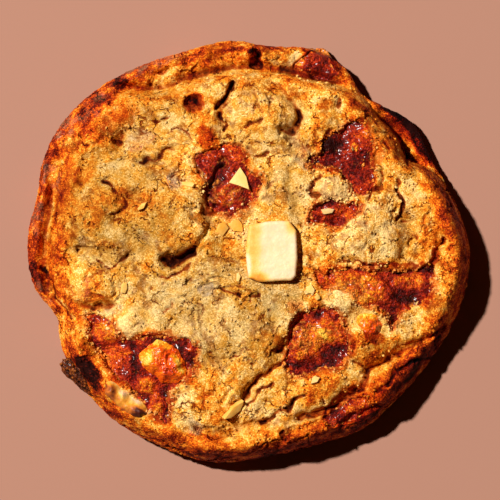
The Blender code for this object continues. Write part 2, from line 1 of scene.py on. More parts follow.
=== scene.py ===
# %% [markdown]
# # A toffee cookie
#
# A real one is a ball of stiff dough, full of chopped toffee, that slumps in the oven. The middle
# stays thick and pale, a thinner skirt runs out below it, and the toffee melts, boils and sets
# again as glassy dark pools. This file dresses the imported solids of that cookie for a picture.
# Everything is worked out in millimetres, like the solids, and made into metres at the end.

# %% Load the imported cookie
import math
from functools import partial

import bmesh
import bpy
import numpy as np
from mathutils import Matrix, Vector


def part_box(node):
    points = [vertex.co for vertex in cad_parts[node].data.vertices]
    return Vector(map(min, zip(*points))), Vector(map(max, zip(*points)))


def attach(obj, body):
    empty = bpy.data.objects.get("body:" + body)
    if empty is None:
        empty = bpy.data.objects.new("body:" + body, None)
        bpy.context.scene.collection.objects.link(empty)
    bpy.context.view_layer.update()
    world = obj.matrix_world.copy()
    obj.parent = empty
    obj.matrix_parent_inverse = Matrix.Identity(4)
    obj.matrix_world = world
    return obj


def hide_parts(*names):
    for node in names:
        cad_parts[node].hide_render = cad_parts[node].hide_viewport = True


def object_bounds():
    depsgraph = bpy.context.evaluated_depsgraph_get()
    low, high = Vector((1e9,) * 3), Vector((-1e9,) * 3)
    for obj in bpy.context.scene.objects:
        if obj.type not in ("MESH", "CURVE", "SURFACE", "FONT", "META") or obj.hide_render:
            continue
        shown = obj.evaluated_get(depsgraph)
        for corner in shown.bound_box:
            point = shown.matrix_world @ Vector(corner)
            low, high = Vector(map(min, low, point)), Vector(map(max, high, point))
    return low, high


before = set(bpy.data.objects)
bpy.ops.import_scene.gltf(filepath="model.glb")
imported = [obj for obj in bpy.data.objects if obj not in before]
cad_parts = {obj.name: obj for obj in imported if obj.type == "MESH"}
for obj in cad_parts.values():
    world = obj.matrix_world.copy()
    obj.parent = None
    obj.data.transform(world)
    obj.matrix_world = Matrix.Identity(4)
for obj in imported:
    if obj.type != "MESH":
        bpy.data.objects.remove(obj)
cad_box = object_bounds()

MM = 0.001
SLAB_MIDDLE = (5.06, -0.30)       # middle of the chocolate slab in the measured drawing
slab_low, slab_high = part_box("white_chocolate_slab")
SHIFT = np.array((slab_low + slab_high)[:2]) / 2 / MM - SLAB_MIDDLE
print("solids:", ", ".join(sorted(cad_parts)))
print("the drawing lies on the solids with a shift of", SHIFT.round(3), "mm")

# %% [markdown]
# ## Camera, floor and light
#
# The cookie is seen from straight above through a long lens, so nothing leans outwards. One soft
# lamp stands high on the upper left and rakes across the crumb, and a weak even sky keeps the
# shadows from closing up. The floor is plain.

# %% Camera
PHOTO_PIXELS = 500
PIXEL = 0.2262             # millimetres of table under one pixel of the photo
VIEW_WIDTH = PHOTO_PIXELS * PIXEL
VIEW_OFFSET = (0.226, 0)   # from the drawing's middle to the photo's
SCALE_HEIGHT = 6           # height above the table at which the photo's scale holds
LENS = 400
SENSOR = 36

camera = bpy.data.objects.new("camera", bpy.data.cameras.new("camera"))
bpy.context.scene.collection.objects.link(camera)
camera.data.lens = LENS
camera.data.sensor_width = SENSOR
camera.data.clip_start = 0.1
camera.data.clip_end = 20
camera_height = VIEW_WIDTH * LENS / SENSOR + SCALE_HEIGHT
camera.location = Vector((*(SHIFT + VIEW_OFFSET), camera_height)) * MM
bpy.context.scene.camera = camera
print("camera height", round(camera.location.z, 3), "m")

# %% Light
LIGHT_AZIMUTH = math.radians(147)        # where the light comes from, anticlockwise from +X
LIGHT_HEIGHT = math.radians(55)          # above the table
LIGHT_DISTANCE = 3.0                     # metres
LIGHT_SIZE = 0.15                        # metres
LIGHT_POWER = 156
LIGHT_COLOUR = (1, 0.97, 0.93)
SKY_COLOUR = (1, 0.40, 0.12, 1)
SKY_STRENGTH = 0.024

lamp = bpy.data.lights.new("key_lamp", "AREA")
lamp.shape = "DISK"
lamp.size = LIGHT_SIZE
lamp.energy = LIGHT_POWER
lamp.color = LIGHT_COLOUR
key = bpy.data.objects.new("key_lamp", lamp)
bpy.context.scene.collection.objects.link(key)
level = math.cos(LIGHT_HEIGHT)
to_light = Vector((
    math.cos(LIGHT_AZIMUTH) * level, math.sin(LIGHT_AZIMUTH) * level, math.sin(LIGHT_HEIGHT),
))
key.location = to_light * LIGHT_DISTANCE
key.rotation_mode = "QUATERNION"
key.rotation_quaternion = (-to_light).to_track_quat("-Z", "Y")

world = bpy.data.worlds.new("studio")
world.use_nodes = True
sky = world.node_tree.nodes["Background"].inputs
sky["Color"].default_value = SKY_COLOUR
sky["Strength"].default_value = SKY_STRENGTH
bpy.context.scene.world = world
bpy.context.scene.view_settings.view_transform = "Standard"
print("lamp at", [round(value, 2) for value in key.location], "m")

# %% Floor
FLOOR_SIZE = 8.0           # metres
FLOOR_COLOUR = (0.385, 0.186, 0.126, 1)

bpy.ops.mesh.primitive_plane_add(size=FLOOR_SIZE)
floor = bpy.context.object
floor.name = "floor"
paint = bpy.data.materials.new("floor_paint")
paint.use_nodes = True
painted = paint.node_tree.nodes["Principled BSDF"].inputs
painted["Base Color"].default_value = FLOOR_COLOUR
painted["Roughness"].default_value = 0.9
floor.data.materials.append(paint)
print("floor:", FLOOR_SIZE, "m wide")

# %% [markdown]
# ## The form, as functions
#
# A cookie has no outline that one formula gives, but a few measured radii, joined by a smooth
# curve, describe it well. The crown is a dome with a squared shoulder, the skirt is a lower one
# that reaches further out, and the two are blended. Swellings are added, folds and pits are cut
# away. The same functions made the solids, so the fine surface fits over them.

# %% Measured sizes
CROWN_TOP = 16.0           # height of the dome's middle, before its swellings
CROWN_FALL = 6.2           # how much lower the dome would be at the outline
BULGE_HEIGHT = 3.4         # height of the widest line of the side
BASE_TUCK = 3.0            # how far the side draws in below that line
SKIRT_ROUND = 2.4          # width of the skirt's rounded edge
STEP_BLEND = 0.7           # softness of the step from the crown down to the skirt
BEAD_INSET = 3.3           # from the crown's edge in to the raised bead
BEAD_WIDTH = 2.1
CREVICE_DEPTH = 1.7        # the crevice where the crown lies on its ledge
CREVICE_WIDTH = 1.1
RELIEF_FADE = 0.05         # share of the radius over which cuts fade out at the rim

# Radius of the outline at angles counted anticlockwise from +X.
OUTLINE = (
    (0, 50.2), (12, 48.4), (26, 46.3), (39, 46.9), (47, 44.8), (55, 44.0), (61, 46.5),
    (73, 47.7), (84, 46.6), (95, 47.8), (108, 47.5), (121, 48.7), (136, 50.6), (148, 51.4),
    (158, 50.9), (165, 49.8), (177, 50.4), (190, 49.5), (199.5, 46.4), (207, 48.0),
    (220, 49.0), (232, 49.4), (245, 48.9), (258, 49.1), (275, 47.2), (290, 47.0),
    (303, 48.2), (316, 47.8), (330, 48.4), (345, 49.8),
)
# How wide the crown's rounded edge is.
CROWN_ROUND = (
    (0, 2.6), (14, 2.4), (30, 3.0), (60, 3.2), (100, 3.6), (130, 5.4), (150, 7.0), (180, 6.6),
    (210, 5.0), (240, 3.6), (270, 2.9), (300, 3.4), (330, 3.2),
)
# Height of the raised bead that runs along the rim.
BEAD = (
    (0, 2.0), (12, 2.8), (22, 2.6), (38, 1.4), (55, 0.8), (90, 0.3), (140, 0.3), (175, 0.5),
    (200, 0.9), (225, 1.1), (245, 1.5), (268, 1.9), (285, 1.7), (305, 0.7), (330, 0.7),
    (345, 1.4),
)
# Height of the skirt where the crown leaves it bare.
SKIRT_TOP = (
    (0, 6.0), (20, 5.0), (34, 4.2), (48, 5.0), (60, 7.2), (75, 8.2), (125, 8.4),
    (145, 7.4), (165, 6.8), (190, 6.6), (210, 7.4), (270, 8.0),
)
# Width of the ledge that the crown leaves bare.
LEDGE = (
    (-15, 0.5), (0, 0.5), (16, 0.6), (24, 1.4), (30, 4.8), (38, 4.5), (46, 2.8), (55, 0.5),
    (62, 4.0), (70, 6.2), (83, 5.4), (96, 6.8), (108, 6.4), (120, 6.8), (127, 3.6),
    (133, 1.2), (148, 1.2), (162, 3.6), (177, 4.4), (190, 3.4), (199, 1.0), (210, 0.5),
    (270, 0.5),
)
LUMP_POWER = 1.0           # 1 leaves a crease round each swelling, more fades it out
# Swellings of the crown: x, y, half length, half width, tilt, height.
LUMPS = (
    (-24, 9, 19, 14, 0, 1.4),
    (-17, 8, 9.5, 10, 20, 2.6),
    (-32, 10, 9, 10, 0, 1.6),
    (3, 31, 9.5, 8, -15, 2.3),
    (15, 26, 6, 6, 0, 1.7),
    (28, 2.6, 8.6, 6.6, -10, 2.6),
    (-34.5, -7.5, 7, 6, 20, 2.2),
    (-9, -33, 9.5, 8.6, 10, 2.3),
    (-27, -16.6, 4.2, 3.2, 10, 1.5),
    (19, 14, 4, 3.4, -20, 1.4),
    (20.5, -11.5, 4, 3.2, -30, 1.5),
    (26.5, -21, 5, 6, 20, 1.6),
    (29.5, -31, 4.5, 5, 40, 1.7),
    (-38, -21.5, 3.4, 4.4, 20, 1.5),
    (-37.5, 22, 7, 10, -35, 0.9),
    (13, -33, 10, 4, 25, 1.1),
    (22, 31, 10, 5, -35, 0.9),
    (41, -12, 4, 8, -10, 1.0),
    (-12, -14, 12, 9, 0, -0.7),
)
# Cracks and folds: depth, half width, then the line they follow.
CREASES = (
    (1.4, 0.8, ((-7.6, 10), (-8.6, 6.6), (-9.2, 3.6), (-11.2, 1), (-13, -0.4))),
    (3.0, 1.15, ((-12.2, -0.6), (-14.4, -1.7), (-17, -2.7), (-19.6, -2.5))),
    (1.3, 1.0, ((-40, 0), (-35, -0.6), (-31, -2), (-27, -2))),
    (1.1, 1.2, ((-38.5, 13), (-37, 18), (-34, 21.4), (-30, 22))),
    (1.9, 1.0, ((-38.5, -12), (-35, -13.6), (-31, -12.4))),
    (1.6, 1.0, ((5, 37.5), (8.5, 35.5), (11, 30.5), (9, 26.5))),
    (1.0, 1.6, ((12, 31), (10, 25), (11, 20), (9, 14), (13, 8))),
    (1.2, 1.3, ((35, 8), (37, 3), (34.5, -1.5))),
    (0.7, 0.6, ((37, 19), (39.5, 14), (41.5, 8), (43, 3))),
    (1.6, 0.7, ((43.4, 2.6), (42.2, 0), (41.8, -3), (41, -5))),
    (2.0, 0.9, ((11, -37.4), (16, -36.8), (19, -35.4), (22, -32.8), (25.6, -31), (26.6, -28))),
    (1.8, 0.8, ((27, -26.8), (30, -25.4), (34, -22.8), (39, -20), (46, -16.2))),
    (1.3, 0.8, ((21.4, -39.4), (25, -37.8), (29, -35.2))),
    (1.3, 0.8, ((6.4, -43.4), (10, -41.2), (14, -39.6), (17, -38))),
    (1.5, 1.2, ((-11, -39.5), (-7, -41.6), (0, -40), (4, -38.6))),
    (1.5, 0.8, ((12.6, -15), (10.8, -17.4), (8.8, -20.6), (7.4, -23))),
    (1.0, 1.2, ((-3, -36), (0, -31), (4, -28), (7.4, -23))),
    (1.7, 0.9, ((-9.4, 8.6), (-9.8, 10.6), (-9, 13.8), (-7.4, 16.6), (-5.6, 19), (-5.4, 20.8))),
    (1.5, 1.0, ((-3.5, 37), (-5.5, 33), (-6.4, 29))),
    (1.0, 1.0, ((-24.5, 20), (-20, 20.4), (-15, 23.5))),
    (1.0, 0.8, ((-43, -13), (-41.4, -14.6), (-38.6, -16))),
    (1.0, 0.9, ((-29, 12), (-28.6, 8), (-31, 6.5))),
)
# Pits and torn holes: x, y, half length, half width, tilt, depth.
PITS = (
    (-12, 33, 2.6, 1.7, 35, 2.4),
    (-28.5, 24.5, 1.4, 2.3, 15, 2.0),
    (-47.6, -4.5, 1.4, 1.0, 0, 1.2),
    (-31, 15.5, 1.5, 1.0, 0, 0.9),
    (-5.6, 19, 1.2, 1.2, 0, 0.8),
    (2, 44, 1.0, 3.4, 0, 2.2),
    (-20, 40.6, 3.0, 1.0, 25, 1.5),
    (43.4, 2.4, 0.9, 0.7, 20, 1.0),
    (-12.5, -39.2, 1.7, 1.1, -30, 0.8),
)
LATTICE = 32               # knots along each side of the noise, before it repeats
# Noise of several sizes, each given by its cell, height and seed.
DOME_NOISE = ((11.0, 0.7, 3), (5.0, 0.7, 5), (2.9, 0.46, 7))
SKIRT_NOISE = ((5.0, 1.0, 17), (2.6, 0.6, 19))
SIDE_NOISE = ((9.0, 0.7, 11), (4.0, 0.45, 13))

# %% [markdown]
# The toffee pools lie in beds sunk into the dough. Each is drawn by a few corners that a smooth
# curve joins.

# %% Outlines of the toffee and the chocolate
POOLS = {
    "toffee_northwest": (
        (-12.4, 20.6), (-8.6, 22.6), (-3.6, 24), (-1, 22), (-0.2, 18.8), (2.8, 16.2),
        (1.4, 11.4), (-4.4, 7.6), (-9.4, 9.6), (-9.4, 15.2),
    ),
    "toffee_northeast": (
        (12.8, 19.2), (15.6, 22), (17.8, 26), (22.6, 28.8), (27.2, 28), (27.6, 21.6),
        (28, 14), (24.8, 12.2), (22.6, 15), (20.2, 17.6), (16.6, 18.6),
    ),
    "toffee_middle": (
        (13.4, 7), (15.2, 10.2), (19.2, 10.8), (22.4, 9.8), (25.4, 9.6), (24.2, 7.4),
        (21.8, 6.6), (19.8, 4.6), (17.2, 5.8),
    ),
    "toffee_east": (
        (14.8, -5), (22, -4.4), (31, -4.4), (38.4, -3.8), (41.6, -4.8), (41.2, -11.2),
        (36, -12.8), (34, -15.6), (32.6, -18.2), (31.4, -15.4), (28.4, -13), (24.8, -12.4),
        (22.4, -8.8), (16.4, -8.2),
    ),
    "toffee_southeast": (
        (8.4, -21.6), (11, -15.4), (17.4, -13), (22, -16.4), (22.8, -24), (17.6, -27),
        (10.4, -28.4), (7.2, -25.4),
    ),
    "toffee_southwest": (
        (-36.8, -15.4), (-31.4, -16), (-27.6, -20), (-20, -18.6), (-11, -22), (-13, -28),
        (-17.4, -31.4), (-18, -38.8), (-21.4, -37.6), (-26.6, -32), (-32.6, -25.6),
    ),
    "toffee_south": (
        (16.6, -38.8), (18.8, -36.2), (23, -33.4), (27.6, -33), (27.8, -35.8), (23.4, -38.8),
        (18.2, -40),
    ),
    "toffee_north": (
        (10.8, 40.6), (12.4, 44.4), (15.6, 44.4), (19.4, 42), (20.2, 39.6), (16, 38.8),
    ),
}
POOL_DEPTH = 2.1
POOL_BANK = 1.7
POOL_LEVEL = 1.0           # how far the toffee stands below the dough round it
NUGGET_LINE = (
    (-24.6, -24), (-23.6, -21.8), (-20.6, -20.4), (-17.4, -21.8), (-14.4, -25.2),
    (-14.2, -28.2), (-16.8, -30.4), (-20.4, -29.2), (-23.6, -26.8),
)
NUGGET_RISE = 2.6
NUB_LINE = ((23.8, -15.6), (26, -14.2), (29, -14.8), (30.4, -17), (29.4, -19.2), (26.6, -19.2))
NUB_RISE = 1.9
CREAM_LINE = (
    (-32.8, -30.8), (-31.2, -29.2), (-27.6, -31.6), (-23.8, -34.8), (-22.6, -37.2),
    (-25.4, -38), (-29, -35.6), (-32, -33),
)
CREAM_RISE = 2.3
BED_DEPTH = 1.2            # under the nub and the chocolate in the rim
SLAB_LINE = (
    (-0.1, -6.3), (2.4, -7.2), (9.6, -6.9), (10.6, -5.9), (10.9, -1.0), (10.7, 4.4),
    (9.1, 6.6), (4.4, 6.4), (-0.1, 5.6), (-0.8, -1.2),
)
BLOB_PLACE = (-37.0, -28.9, 6.4)
BLOB_SIZE = (5.6, 2.4, 2.6)
BLOB_TURN = -40
LINE_STEPS = 6             # points on a smooth line for each of its corners
print("pools:", ", ".join(POOLS))

# %% Lines and distances


def around(pairs, angle):
    """Value of a smooth closed curve through (angle, value) pairs, read at each angle."""
    at = np.array([a for a, _ in pairs], float)
    value = np.array([v for _, v in pairs], float)
    at = np.concatenate([at[-2:] - 360, at, at[:2] + 360])
    value = np.concatenate([value[-2:], value, value[:2]])
    slope = np.gradient(value, at)
    angle = np.mod(angle - at[2], 360) + at[2]
    i = np.searchsorted(at, angle, side="right") - 1
    span = at[i + 1] - at[i]
    t = (angle - at[i]) / span
    rise = value[i + 1] - value[i]
    bend = (slope[i] * span * (1 - t) - slope[i + 1] * span * t + rise * (2 * t - 1)) * t * (1 - t)
    return value[i] + rise * t + bend


def smooth_line(corners):
    """Closed line through the corners, rounded by a Catmull-Rom curve."""
    p = np.array(corners, float)
    before, after, beyond = np.roll(p, 1, 0), np.roll(p, -1, 0), np.roll(p, -2, 0)
    steps = []
    for t in np.arange(LINE_STEPS) / LINE_STEPS:
        pull = (after - before) * t + (2 * before - 5 * p + 4 * after - beyond) * t**2
        steps.append(p + 0.5 * (pull + (3 * p - before - 3 * after + beyond) * t**3))
    return np.stack(steps, axis=1).reshape(-1, 2)


def distance_to(x, y, line, closed=False):
    """Shortest distance from each point to a line through the given points."""
    p = np.array(line, float)
    ends = np.roll(p, -1, 0) if closed else p[1:]
    best = np.full(np.shape(x), np.inf)
    for (ax, ay), (bx, by) in zip(p, ends):
        dx, dy = bx - ax, by - ay
        t = np.clip(((x - ax) * dx + (y - ay) * dy) / (dx * dx + dy * dy), 0, 1)
        best = np.minimum(best, np.hypot(x - ax - t * dx, y - ay - t * dy))
    return best


def inside_distance(x, y, line):
    """How far each point lies inside a closed line; negative outside it."""
    inside = np.zeros(np.shape(x), bool)
    for (ax, ay), (bx, by) in zip(line, np.roll(line, -1, 0)):
        crosses = (ay > y) != (by > y)
        where = ax + (y - ay) * (bx - ax) / np.where(by == ay, 1, by - ay)
        inside ^= crosses & (x < where)
    return np.where(inside, 1, -1) * distance_to(x, y, line, closed=True)


LINES = {name: smooth_line(corners) for name, corners in POOLS.items()}
SLAB_BORDER = np.array(SLAB_LINE, float)

# %% Noise and rounded bumps


def noise(x, y, z, cell, seed):
    """Smooth seeded noise between -1 and 1, with bumps about one cell wide."""
    knots = np.random.default_rng(seed).uniform(-1, 1, (LATTICE,) * 3)
    total = 0
    place = [np.asarray(axis) / cell for axis in np.broadcast_arrays(x, y, z)]
    low = [np.floor(axis).astype(int) for axis in place]
    share = [axis - base for axis, base in zip(place, low)]
    share = [t * t * (3 - 2 * t) for t in share]
    for corner in np.ndindex(2, 2, 2):
        weight, index = 1, []
        for side, t, base in zip(corner, share, low):
            weight = weight * (t if side else 1 - t)
            index.append((base + side) % LATTICE)
        total = total + weight * knots[tuple(index)]
    return total


def blend_up(value, width):
    """0 at or below nothing, 1 from width on, with a smooth rise between."""
    t = np.clip(value / width, 0, 1)
    return t * t * (3 - 2 * t)


def mound(x, y, at_x, at_y, half_length, half_width, tilt, power=1.5):
    """1 in the middle of an oval swelling, falling to 0 at its edge."""
    c, s = math.cos(math.radians(tilt)), math.sin(math.radians(tilt))
    u = ((x - at_x) * c + (y - at_y) * s) / half_length
    v = ((y - at_y) * c - (x - at_x) * s) / half_width
    return np.clip(1 - u * u - v * v, 0, 1) ** power


def roughness(x, y, z, grades):
    """Noise of several sizes added up, each given by its cell, height and seed."""
    return sum(height * noise(x, y, z, cell, seed) for cell, height, seed in grades)


# %% Height of the dough
LEDGE_SHOWS = 2            # a ledge narrower than this doesn't count as bare


def shoulder(depth, width):
    """0 at an edge, 1 from the given width inside it, round like a quarter of an ellipse."""
    return np.sqrt(np.clip(1 - (1 - np.clip(depth / width, 0, 1)) ** 2, 0, 1))


def rim_at(x, y):
    """Angle and radius of each point, and how far out the dough and its crown reach there."""
    angle, r = np.degrees(np.arctan2(y, x)), np.hypot(x, y)
    outline = around(OUTLINE, angle)
    return angle, r, outline, outline - around(LEDGE, angle)


def bare_ledge(outline, crown_edge):
    """1 where the skirt shows as a ledge beyond the crown."""
    return blend_up(outline - crown_edge - LEDGE_SHOWS, 2)


def body_height(x, y):
    """The dome, its swellings and the lower skirt, before anything is cut or bedded in them."""
    angle, r, outline, crown_edge = rim_at(x, y)
    dome = CROWN_TOP - CROWN_FALL * (r / outline) ** 2 + roughness(x, y, 0, DOME_NOISE)
    for *oval, height in LUMPS:
        dome = dome + height * mound(x, y, *oval, LUMP_POWER)
    off_bead = (crown_edge - r - BEAD_INSET) / BEAD_WIDTH
    dome = dome + around(BEAD, angle) * np.exp(-(off_bead**2))
    edge = shoulder(crown_edge - r, around(CROWN_ROUND, angle))
    crown = BULGE_HEIGHT + (dome - BULGE_HEIGHT) * edge
    lobes = around(SKIRT_TOP, angle) + roughness(x, y, 0, SKIRT_NOISE)
    skirt = BULGE_HEIGHT + (lobes - BULGE_HEIGHT) * shoulder(outline - r, SKIRT_ROUND)
    t = np.clip(0.5 + 0.5 * (crown - skirt) / STEP_BLEND, 0, 1)
    return skirt + (crown - skirt) * t + STEP_BLEND * t * (1 - t)


# %% [markdown]
# Nothing in baked dough follows a clean curve. Before a crack, a pit or a pool is drawn, the
# points are pushed about by noise, which makes every line ragged without moving it as a whole.
# Fine cracks that are too small for the solids are listed here too, and where no single one
# stands out in the photo, short ones are strewn at random over the crown.

# %% Fine and short cracks
CUT_SEED = 61
POOL_SEED = 71
WANDER = ((3.4, 0.9), (1.3, 0.5))        # cell and reach of the raggedness
# Fine cracks: depth, half width, then the line they follow.
FINE_CRACKS = (
    (0.9, 0.38, ((-24, 19.4), (-21, 20.6), (-17.6, 22.6))),
    (0.8, 0.34, ((-22, 29.5), (-20, 29.2), (-18.4, 29.7))),
    (0.9, 0.42, ((-27.8, 11.8), (-27.6, 9.6), (-29.4, 8), (-31, 7.6))),
    (0.9, 0.42, ((-32.4, 15.4), (-30, 13.2))),
    (0.8, 0.36, ((-22, 13.6), (-22.4, 11.6))),
    (0.9, 0.40, ((-1.8, 26.4), (0, 28), (2, 28.8))),
    (0.8, 0.36, ((1.6, 21.2), (4.2, 22))),
    (0.9, 0.45, ((15.4, 17.4), (14.2, 15), (14.4, 12.4), (15.6, 11.4))),
    (0.8, 0.34, ((-6.8, -9), (-4.4, -9.4), (-2, -10))),
    (0.8, 0.34, ((0.4, -10.8), (2.6, -10.2))),
    (1.0, 0.50, ((-3, -35), (0, -31), (3, -28), (8, -25))),
    (0.9, 0.40, ((-0.6, -34.4), (2.4, -31.6), (5, -30))),
    (1.0, 0.45, ((3, -39), (7, -36.4), (10, -35), (12.4, -32.8))),
    (0.8, 0.40, ((20.6, 33.8), (20.4, 32.2))),
    (0.9, 0.40, ((30.8, 23.6), (32, 22))),
    (1.1, 0.50, ((35.4, 20.6), (35.8, 18.2))),
    (0.9, 0.50, ((33.4, 15), (34.4, 11), (34.2, 7))),
    (0.7, 0.36, ((-34.6, -2), (-31, -3.8), (-27.6, -1.4))),
    (0.7, 0.40, ((-46.4, -4.8), (-43.2, -11), (-40.4, -15.8))),
    (0.8, 0.36, ((7.6, -40.6), (8.2, -42.6))),
    (0.8, 0.40, ((16, -33), (16.8, -34.4))),
    (0.7, 0.34, ((-13, 25.6), (-15.8, 26.6), (-17.6, 25.8))),
    (0.7, 0.34, ((-38.4, 27), (-36.4, 24))),
    (0.7, 0.34, ((24, -25), (26.4, -26.6))),
    (1.0, 0.50, ((29, -31), (33, -28), (38, -25), (43.6, -22.4))),
    (0.7, 0.36, ((-17, 16.8), (-15.4, 18.8), (-15.8, 20.6))),
    (0.7, 0.36, ((20, -3), (24, -2.2), (28, -3))),
    (0.7, 0.36, ((27, 12), (29.6, 15), (29.4, 18))),
    (0.8, 0.40, ((-20, -6), (-17, -5.4), (-13.6, -3.6))),
    (0.6, 0.34, ((-4, -24), (-1.4, -22.4), (1, -23))),
    (0.6, 0.34, ((-15, -12), (-12.6, -14), (-12.4, -16.4))),
    (0.6, 0.34, ((-20, -14.4), (-18, -13), (-17.6, -10.8))),
    (1.6, 0.50, ((-3.6, 37.4), (-5.2, 35), (-7, 32.4))),
    (1.0, 0.34, ((-6.4, 31), (-5.4, 29), (-6.2, 27))),
)
CRACK_COUNT = 60
CRACK_SEED = 163
CRACK_FIELD = 40           # radius of the disc that the short cracks lie on
CRACK_WIDTH = 0.3
ANY_ANGLE = (0, 6.28)


def wander(x, y, seed):
    """The same points pushed about a little, so that what is drawn through them is ragged."""
    for step, (cell, reach) in enumerate(WANDER):
        push = [noise(x, y, 0, cell, seed + 2 * step + way) for way in (0, 1)]
        x, y = x + reach * push[0], y + reach * push[1]
    return x, y


def short_cracks():
    """Short cracks strewn over the crown, clear of the toffee and the slab."""
    rng = np.random.default_rng(CRACK_SEED)
    borders = [*LINES.values(), SLAB_BORDER]
    cracks = []
    while len(cracks) < CRACK_COUNT:
        reach = CRACK_FIELD * math.sqrt(rng.uniform())
        angle, heading = rng.uniform(*ANY_ANGLE), rng.uniform(*ANY_ANGLE)
        half_length, depth = rng.uniform(0.7, 2.2), rng.uniform(0.5, 0.9)
        bend = rng.uniform(-0.8, 0.8)
        x, y = reach * math.cos(angle), reach * math.sin(angle)
        if max(inside_distance(np.array([x]), np.array([y]), line)[0] for line in borders) > -half_length:
            continue
        steps = (-1, heading - bend), (0, heading), (1, heading + bend)
        reaches = [(half_length * s * math.cos(h), half_length * s * math.sin(h)) for s, h in steps]
        cracks.append((depth, CRACK_WIDTH, [(x + across, y + along) for across, along in reaches]))
    return tuple(cracks)


ALL_CRACKS = CREASES + FINE_CRACKS + short_cracks()
print("cracks and folds:", len(ALL_CRACKS))

# %% Cuts in the dough
LEDGE_CRAGS = ((2.4, 0.7, 51), (1.2, 0.4, 53))   # cell, height, seed


def crack_cut(x, y, cracks):
    cut = 0
    for depth, half_width, line in cracks:
        cut = cut + depth * np.exp(-((distance_to(x, y, line) / half_width) ** 2))
    return cut


def cut_depth(x, y):
    """Depth of folds, cracks and pits, fading out at the widest line of the side."""
    _, r, outline, crown_edge = rim_at(x, y)
    ledge = bare_ledge(outline, crown_edge)
    ragged = wander(x, y, CUT_SEED)
    cut = CREVICE_DEPTH * ledge * np.exp(-(((r - crown_edge - 0.3) / CREVICE_WIDTH) ** 2))
    cut = cut + crack_cut(*ragged, ALL_CRACKS)
    for *oval, depth in PITS:
        cut = cut + depth * mound(*ragged, *oval)
    crags = blend_up(r - crown_edge, 1.5) * ledge
    cut = cut - crags * roughness(x, y, 0, LEDGE_CRAGS)
    return cut * blend_up(1 - r / outline, RELIEF_FADE)


def open_ground(x, y):
    """Height of the dough where nothing is bedded in it."""
    return body_height(x, y) - cut_depth(x, y)


# %% Beds of the toffee, of the two pieces in the rim and of the slab
SHORE = 0.3                # how far the toffee's bed reaches past its line
SHORE_BANK = 1.2
SLAB_BED = 3.0
SLAB_LIP = 0.35


def pool_depth(x, y, line):
    return POOL_DEPTH * blend_up(inside_distance(x, y, line) + SHORE, SHORE_BANK)


def bed_depth(x, y):
    """How deep the dough dips under what lies in it."""
    ragged = wander(x, y, POOL_SEED)
    bed = np.max([pool_depth(*ragged, line) for line in LINES.values()], axis=0)
    for corners in (NUB_LINE, CREAM_LINE):
        depth = inside_distance(x, y, smooth_line(corners))
        bed = np.maximum(bed, BED_DEPTH * blend_up(depth, POOL_BANK))
    slab = inside_distance(x, y, SLAB_BORDER)
    return np.maximum(bed, SLAB_BED * blend_up(slab - SLAB_LIP, 0.8))


# %% [markdown]
# ## A net that stays even
#
# A round net whose ring k has 6k points keeps all its triangles nearly alike, which a plain
# polar net does not. The relief needs that: a crumb must look the same in the middle and at
# the rim.

# %% The net
TOP_RINGS = 176
WALL_RINGS = 0.2           # share of the rings that go down the steep edge
WALL_WIDTH = 0.09          # share of the radius that the steep edge takes up


def ring_reach(share, wall_rings, wall_width):
    """Radius of a ring: even on top, then closer and closer down the steep edge."""
    if share < 1 - wall_rings:
        return share / (1 - wall_rings) * (1 - wall_width)
    return 1 - wall_width + wall_width * math.sin((share - 1 + wall_rings) / wall_rings * math.pi / 2)


def round_net(rings, wall_rings, wall_width):
    """Points on a unit disc and the triangles between them, and where the outer ring starts."""
    xs, ys, faces, start = [np.zeros(1)], [np.zeros(1)], [], [0]
    count = 1
    for k in range(1, rings + 1):
        share = ring_reach(k / rings, wall_rings, wall_width)
        angle = np.radians(np.arange(6 * k) * 60.0 / k)
        xs.append(share * np.cos(angle))
        ys.append(share * np.sin(angle))
        start.append(count)
        count += 6 * k
        j, side = np.meshgrid(np.arange(k), np.arange(6))
        outer = start[k] + side * k + j
        after = start[k] + (side * k + j + 1) % (6 * k)
        inner = start[k - 1] + (side * (k - 1) + j) % max(6 * (k - 1), 1)
        faces.append(np.stack([inner, outer, after], axis=-1).reshape(-1, 3))
        if k > 1:
            beside = start[k - 1] + (side * (k - 1) + j + 1) % (6 * (k - 1))
            others = np.stack([inner, after, beside], axis=-1)[:, :-1]
            faces.append(others.reshape(-1, 3))
    return np.concatenate(xs), np.concatenate(ys), np.concatenate(faces), start[-1]


def band(upper, lower, count):
    """Triangles between two rings of points, given by the first point of each."""
    here = np.arange(count)
    after = (here + 1) % count
    return np.concatenate([
        np.stack([upper + here, lower + here, lower + after], axis=1),
        np.stack([upper + here, lower + after, upper + after], axis=1),
    ])


def reach_of(line, angle):
    """How far a closed line lies from the origin in each direction."""
    turned = np.arctan2(line[:, 1], line[:, 0])
    order = np.argsort(turned)
    reach = np.hypot(line[:, 0], line[:, 1])[order]
    return np.interp(angle, turned[order], reach, period=2 * math.pi)


def to_mesh(name, points, faces):
    """A mesh in metres, in the place of the solids, from points in millimetres."""
    mesh = bpy.data.meshes.new(name)
    placed = (np.asarray(points, float) + [*SHIFT, 0]) * MM
    mesh.from_pydata(placed.tolist(), [], np.asarray(faces).tolist())
    mesh.update()
    return mesh


def add_piece(mesh, material=None):
    """An object at the origin that shows the mesh and is named like it."""
    made = bpy.data.objects.new(mesh.name, mesh)
    bpy.context.scene.collection.objects.link(made)
    mesh.shade_smooth()
    if material:
        mesh.materials.append(material)
    return made


# %% The dough's upper surface
SKIN_INSET = 0.15          # keeps the rough side inside the solids' widest line

